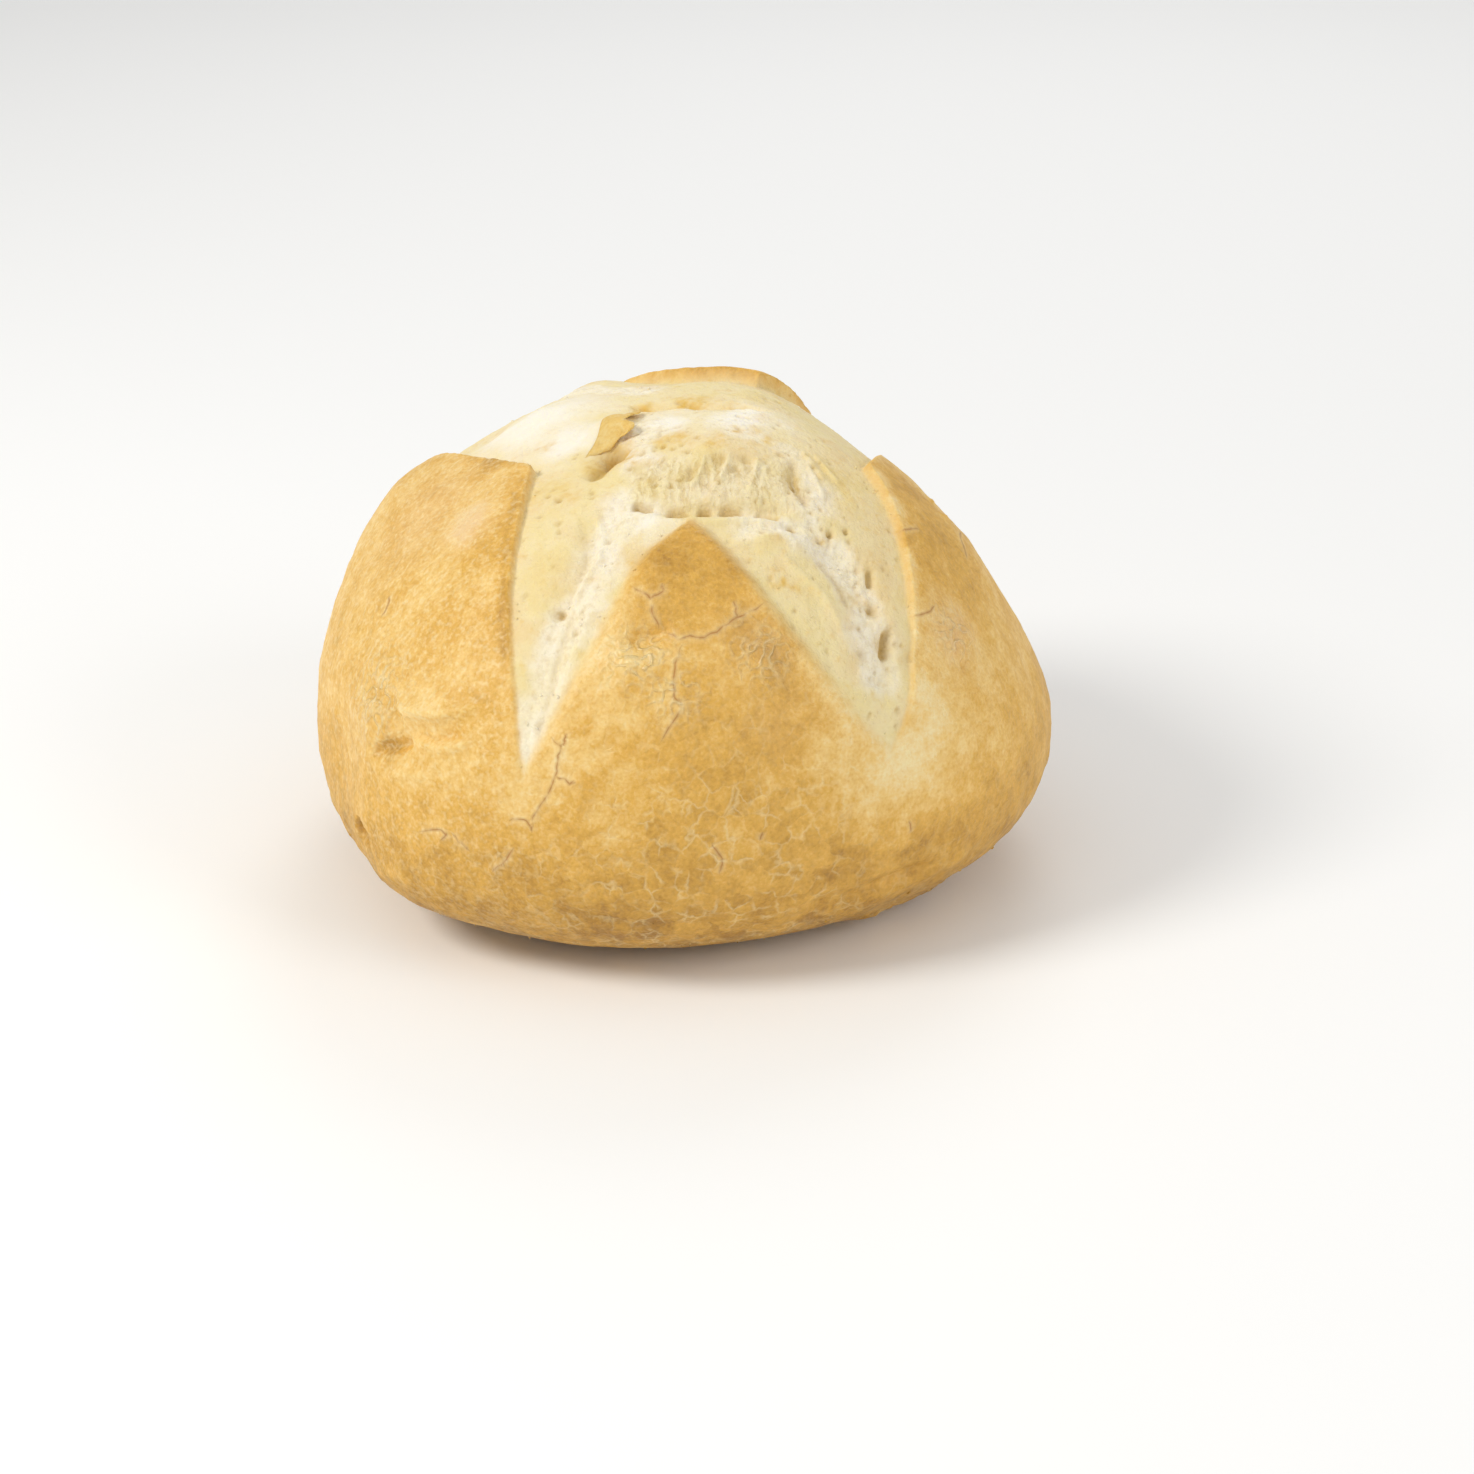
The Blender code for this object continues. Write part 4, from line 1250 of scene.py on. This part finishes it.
def crust_nodes(tree, place, paint, noise, bent):
    """The crust's colour, and what its relief needs: its hairlines, its flecks and its wrinkles."""
    level = paint["bake_and_shade"]
    for name, strength in BAKE_NOISES:
        centred = add(tree, "ShaderNodeMath", {0: noise[name], 1: 0.5}, operation="SUBTRACT")
        level = add(tree, "ShaderNodeMath", {0: centred, 1: strength, 2: level}, operation="MULTIPLY_ADD")
    # Painted shade: darker towards the foot and in the cracks
    for name, strength in PAINTED_SHADES:
        level = add(
            tree,
            "ShaderNodeMath",
            {0: paint[name], 1: strength, 2: level},
            operation="MULTIPLY_ADD",
        )

    # Each plate has its own shade inside a pale broken line
    hairline = 0.0
    for size, where, width in PLATES:
        cells = add(tree, "ShaderNodeTexVoronoi", {"Vector": bent, "Scale": size})
        shade = add(tree, "ShaderNodeSeparateColor", {0: (cells, "Color")})
        centred = add(tree, "ShaderNodeMath", {0: shade, 1: 0.5}, operation="SUBTRACT")
        shown = add(tree, "ShaderNodeMath", {0: centred, 1: paint[where]}, operation="MULTIPLY")
        level = add(tree, "ShaderNodeMath", {0: shown, 1: PLATE_SHADES, 2: level}, operation="MULTIPLY_ADD")
        edges = add(
            tree,
            "ShaderNodeTexVoronoi",
            {"Vector": bent, "Scale": size},
            feature="DISTANCE_TO_EDGE",
        )
        line = add(tree, "ShaderNodeMapRange", {0: edges, 1: 0.0, 2: width, 3: 1.0, 4: 0.0})
        shown = add(tree, "ShaderNodeMath", {0: line, 1: paint[where]}, operation="MULTIPLY")
        hairline = add(tree, "ShaderNodeMath", {0: hairline, 1: shown}, operation="MAXIMUM")
    whole = add(tree, "ShaderNodeMapRange", {0: noise["breaks"], 1: 0.42, 2: 0.62, 3: 0.0, 4: 1.0})
    hairline = add(tree, "ShaderNodeMath", {0: hairline, 1: whole}, operation="MULTIPLY")
    ramp = add(tree, "ShaderNodeValToRGB", {0: level})
    fill_ramp(ramp, CRUST_STOPS)

    # Pale flecks 1.5 mm across, where the skin has blistered, and painted highlight on the crests of the
    # wrinkles
    fleck = add(tree, "ShaderNodeMapRange", {0: noise["blisters"], 1: 0.48, 2: 0.74, 3: 0.0, 4: 0.44})
    fleck = add(tree, "ShaderNodeMath", {0: fleck, 1: paint["flecks"]}, operation="MULTIPLY")
    folds = add(
        tree,
        "ShaderNodeTexNoise",
        {"Vector": place, "Scale": 300.0, "Detail": 1.0, "Offset": 1.0},
        noise_type="RIDGED_MULTIFRACTAL",
    )
    wrinkle = add(tree, "ShaderNodeMapRange", {0: folds, 1: 0.7, 2: 1.3, 3: 0.0, 4: 1.0})
    wrinkle = add(tree, "ShaderNodeMath", {0: wrinkle, 1: paint["wrinkles"]}, operation="MULTIPLY")
    paler = add(tree, "ShaderNodeMath", {0: hairline, 1: 0.46, 2: fleck}, operation="MULTIPLY_ADD")
    # The halos beside the cracks are paler, and the wrinkles' crests get painted highlight
    for share in (paint["halo"], wrinkle):
        paler = add(
            tree,
            "ShaderNodeMath",
            {0: share, 1: 0.42, 2: paler},
            operation="MULTIPLY_ADD",
            use_clamp=True,
        )
    tan = add(tree, "ShaderNodeMath", {0: paint["tan"], 1: 0.42}, operation="MULTIPLY")
    # The cracks' narrow gaps get painted shade, deeper in colour than the crust
    crack_shade = add(tree, "ShaderNodeMath", {0: paint["crack"], 1: 0.80}, operation="MULTIPLY")
    crust = (ramp, 0)
    for share, colour in ((tan, CRUST_TAN), (paler, CRUST_PALE), (crack_shade, CRACK_SHADE_BROWN)):
        crust = (add(tree, "ShaderNodeMix", {0: share, 6: crust, 7: linear(colour)}, data_type="RGBA"), 2)
    return crust, hairline, fleck, wrinkle


def crumb_nodes(tree, place, paint, noise, bent):
    """The crumb's colour, and what its relief needs: the gaps of its strands and the holes of its sponge."""
    # White where torn, and cream where it is smooth
    centred = add(tree, "ShaderNodeMath", {0: noise["clouds"], 1: 0.42}, operation="SUBTRACT")
    whiter = add(
        tree,
        "ShaderNodeMath",
        {0: centred, 1: 1.3, 2: paint["white"]},
        operation="MULTIPLY_ADD",
        use_clamp=True,
    )

    # Golden where it has toasted, and in specks elsewhere
    specks = add(tree, "ShaderNodeMapRange", {0: noise["mottle"], 1: 0.54, 2: 0.74, 3: 0.0, 4: 0.28})
    golden = add(tree, "ShaderNodeMapRange", {0: noise["clouds"], 1: 0.50, 2: 0.72, 3: 0.0, 4: 0.42})
    specks = add(tree, "ShaderNodeMath", {0: specks, 1: golden}, operation="ADD")
    skin_share = add(tree, "ShaderNodeMapRange", {0: paint["white"], 1: 0.0, 2: 0.9, 3: 1.0, 4: 0.10})
    specks = add(tree, "ShaderNodeMath", {0: specks, 1: skin_share}, operation="MULTIPLY")
    toasted = add(tree, "ShaderNodeMath", {0: paint["toast"], 1: specks}, operation="MAXIMUM")

    # Painted shade, deeper in colour, in its hollows, between the strands and in the holes of the sponge
    mapping = add(tree, "ShaderNodeMapping", {"Vector": bent, "Scale": (1.0, 0.16, 0.22)})
    fibre = add(tree, "ShaderNodeTexNoise", {"Vector": mapping, "Scale": 760.0, "Detail": 2.0})
    fibre_gap = add(tree, "ShaderNodeMapRange", {0: fibre, 1: 0.42, 2: 0.66, 3: 0.0, 4: 0.42})
    fibre_gap = add(tree, "ShaderNodeMath", {0: fibre_gap, 1: paint["strands"]}, operation="MULTIPLY")
    holes = add(
        tree,
        "ShaderNodeTexNoise",
        {"Vector": place, "Scale": 480.0, "Detail": 3.0, "Roughness": 0.6},
    )
    sponge = add(tree, "ShaderNodeMapRange", {0: holes, 1: 0.34, 2: 0.52, 3: 0.20, 4: 0.0})
    sponge = add(tree, "ShaderNodeMath", {0: sponge, 1: paint["torn"]}, operation="MULTIPLY")
    hollow_shading = add(
        tree,
        "ShaderNodeMath",
        {0: paint["hollow"], 1: 0.8, 2: fibre_gap},
        operation="MULTIPLY_ADD",
    )
    hollow_shading = add(tree, "ShaderNodeMath", {0: hollow_shading, 1: sponge}, operation="ADD", use_clamp=True)
    crumb = linear(CRUMB_CREAM)
    for share, colour in ((whiter, CRUMB_WHITE), (toasted, CRUMB_TOASTED), (hollow_shading, HOLLOW_SHADE)):
        crumb = (add(tree, "ShaderNodeMix", {0: share, 6: crumb, 7: linear(colour)}, data_type="RGBA"), 2)
    return crumb, fibre_gap, sponge


def baked_bread():
    """Baked wheat dough. The crust is matte and golden with a fine leathery grain, and the crumb is paler,
    softer and lets light through."""
    material = bpy.data.materials.new("baked_bread")
    material.use_nodes = True
    tree = material.node_tree
    shader = tree.nodes["Principled BSDF"]
    place = (add(tree, "ShaderNodeTexCoord"), "Object")
    paint = {}
    for name in PAINTS:
        paint[name] = (add(tree, "ShaderNodeAttribute", attribute_name=name), "Fac")
    noise = {}
    for name, scale, detail in NOISES:
        noise[name] = add(tree, "ShaderNodeTexNoise", {"Vector": place, "Scale": scale, "Detail": detail})
    bent = add(
        tree,
        "ShaderNodeVectorMath",
        {0: (noise["warp"], "Color"), 1: (0.0052, 0.0052, 0.0052), 2: place},
        operation="MULTIPLY_ADD",
    )
    crust, hairline, fleck, wrinkle = crust_nodes(tree, place, paint, noise, bent)
    crumb, fibre_gap, sponge = crumb_nodes(tree, place, paint, noise, bent)

    # The cut edge of the crust is an orange band between the two
    bread = (add(tree, "ShaderNodeMix", {0: paint["crust"], 6: crumb, 7: crust}, data_type="RGBA"), 2)
    wall = add(tree, "ShaderNodeMath", {0: paint["wall"], 1: 0.45}, operation="MULTIPLY")
    bread = add(tree, "ShaderNodeMix", {0: wall, 6: bread, 7: linear(CRUST_GOLD)}, data_type="RGBA")
    tree.links.new(bread.outputs[2], shader.inputs["Base Color"])

    # Relief finer than the mesh: grain everywhere, pinholes in the crumb, flecks and wrinkles on the crust
    pores = add(tree, "ShaderNodeTexVoronoi", {"Vector": place, "Scale": 620.0})
    pinhole = add(tree, "ShaderNodeMapRange", {0: pores, 1: 0.05, 2: 0.30, 3: -1.0, 4: 0.0})
    in_crumb = add(tree, "ShaderNodeMath", {0: 1.0, 1: paint["crust"]}, operation="SUBTRACT")
    pinhole = add(tree, "ShaderNodeMath", {0: pinhole, 1: in_crumb}, operation="MULTIPLY")
    relief = noise["mottle"]
    heights = (
        (noise["grain"], 0.55),
        (pinhole, 0.22),
        (fleck, 0.12),
        (hairline, -0.35),
        (wrinkle, 1.1),
        (fibre_gap, -0.8),
        (sponge, -0.6),
    )
    for height, strength in heights:
        relief = add(tree, "ShaderNodeMath", {0: height, 1: strength, 2: relief}, operation="MULTIPLY_ADD")
    bump = add(tree, "ShaderNodeBump", {"Height": relief, "Strength": 0.75, "Distance": 0.0007})
    tree.links.new(bump.outputs[0], shader.inputs["Normal"])

    # Crumb is duller than crust, and wrinkled crust shines
    dull = add(tree, "ShaderNodeMapRange", {0: paint["crust"], 1: 0.0, 2: 1.0, 3: 0.85, 4: 0.52})
    dull = add(tree, "ShaderNodeMath", {0: paint["wrinkles"], 1: -0.22, 2: dull}, operation="MULTIPLY_ADD")
    tree.links.new(dull.outputs[0], shader.inputs["Roughness"])
    for name, value in BREAD_VALUES.items():
        shader.inputs[name].default_value = value
    return material


def plain_floor():
    """Matt white paper sweep, which gives a plain pale ground and soft bounce."""
    material = bpy.data.materials.new("paper_sweep")
    material.use_nodes = True
    shader = material.node_tree.nodes["Principled BSDF"]
    shader.inputs["Base Color"].default_value = linear(FLOOR_WHITE)
    shader.inputs["Roughness"].default_value = 0.9
    mesh = bpy.data.meshes.new("floor")
    half = FLOOR_SIZE / 2
    corners = [(-half, -half, 0), (half, -half, 0), (half, half, 0), (-half, half, 0)]
    mesh.from_pydata(corners, [], [(0, 1, 2, 3)])
    floor = bpy.data.objects.new("floor", mesh)
    bpy.context.scene.collection.objects.link(floor)
    mesh.materials.append(material)


FLOOR_SIZE = 10.0
ROOM_LIGHT = 0.52

# Camera at the photograph's view: it looks down, slightly to the right, and leans a little
CAMERA_PLACE = (0.0033, -0.9541, 0.4464)
CAMERA_DOWN = math.radians(23.39)
CAMERA_ASIDE = math.radians(0.77)
CAMERA_ROLL = math.radians(-0.77)
LENS_MM = 82.55
SENSOR_MM = 36.0


def add_camera():
    """The camera, turned down and aside from looking along +Y, and then rolled."""
    data = bpy.data.cameras.new("camera")
    data.lens = LENS_MM
    data.sensor_width = SENSOR_MM
    camera = bpy.data.objects.new("camera", data)
    bpy.context.scene.collection.objects.link(camera)
    forward = Vector(
        (
            math.cos(CAMERA_DOWN) * math.sin(CAMERA_ASIDE),
            math.cos(CAMERA_DOWN) * math.cos(CAMERA_ASIDE),
            -math.sin(CAMERA_DOWN),
        )
    )
    level_right = Vector((math.cos(CAMERA_ASIDE), -math.sin(CAMERA_ASIDE), 0.0))
    level_up = level_right.cross(forward)
    right = math.cos(CAMERA_ROLL) * level_right + math.sin(CAMERA_ROLL) * level_up
    up = right.cross(forward)
    turned = Matrix((right, up, -forward)).transposed().to_4x4()
    camera.matrix_world = Matrix.Translation(CAMERA_PLACE) @ turned
    bpy.context.scene.camera = camera


def add_light(name, place, target, size, power, colour):
    """A round soft light that faces the target."""
    data = bpy.data.lights.new(name, "AREA")
    data.shape = "DISK"
    data.size = size
    data.energy = power
    data.color = linear(colour)[:3]
    light = bpy.data.objects.new(name, data)
    bpy.context.scene.collection.objects.link(light)
    light.location = place
    light.rotation_euler = (Vector(target) - Vector(place)).to_track_quat("-Z", "Y").to_euler()


def add_studio():
    """Soft studio light: a large key from the upper left, a weaker fill from the right, and a pale room."""
    add_light("key", (-1.05, -0.45, 1.05), (0.0, 0.0, 0.06), 0.55, 11.6, "#FFFDF8")
    add_light("fill", (1.3, -0.9, 0.9), (0.0, 0.0, 0.06), 1.0, 7.4, "#FFFFFF")
    add_light("back", (0.3, 1.3, 1.2), (0.0, 0.0, 0.10), 0.9, 5.0, "#FFFFFF")
    world = bpy.data.worlds.new("room")
    world.use_nodes = True
    background = world.node_tree.nodes["Background"]
    background.inputs["Color"].default_value = linear("#FFFFFF")
    background.inputs["Strength"].default_value = ROOM_LIGHT
    bpy.context.scene.world = world
    bpy.context.scene.view_settings.view_transform = "Standard"


bread = baked_bread()
loaf = build_loaf()
flake = build_flake()
for piece in (loaf, flake):
    piece.data.materials.append(bread)
crumbs = scatter_crumbs(loaf, bread)
for piece in (loaf, flake, crumbs):
    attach(piece, "root")
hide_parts("loaf")
plain_floor()
add_camera()
add_studio()
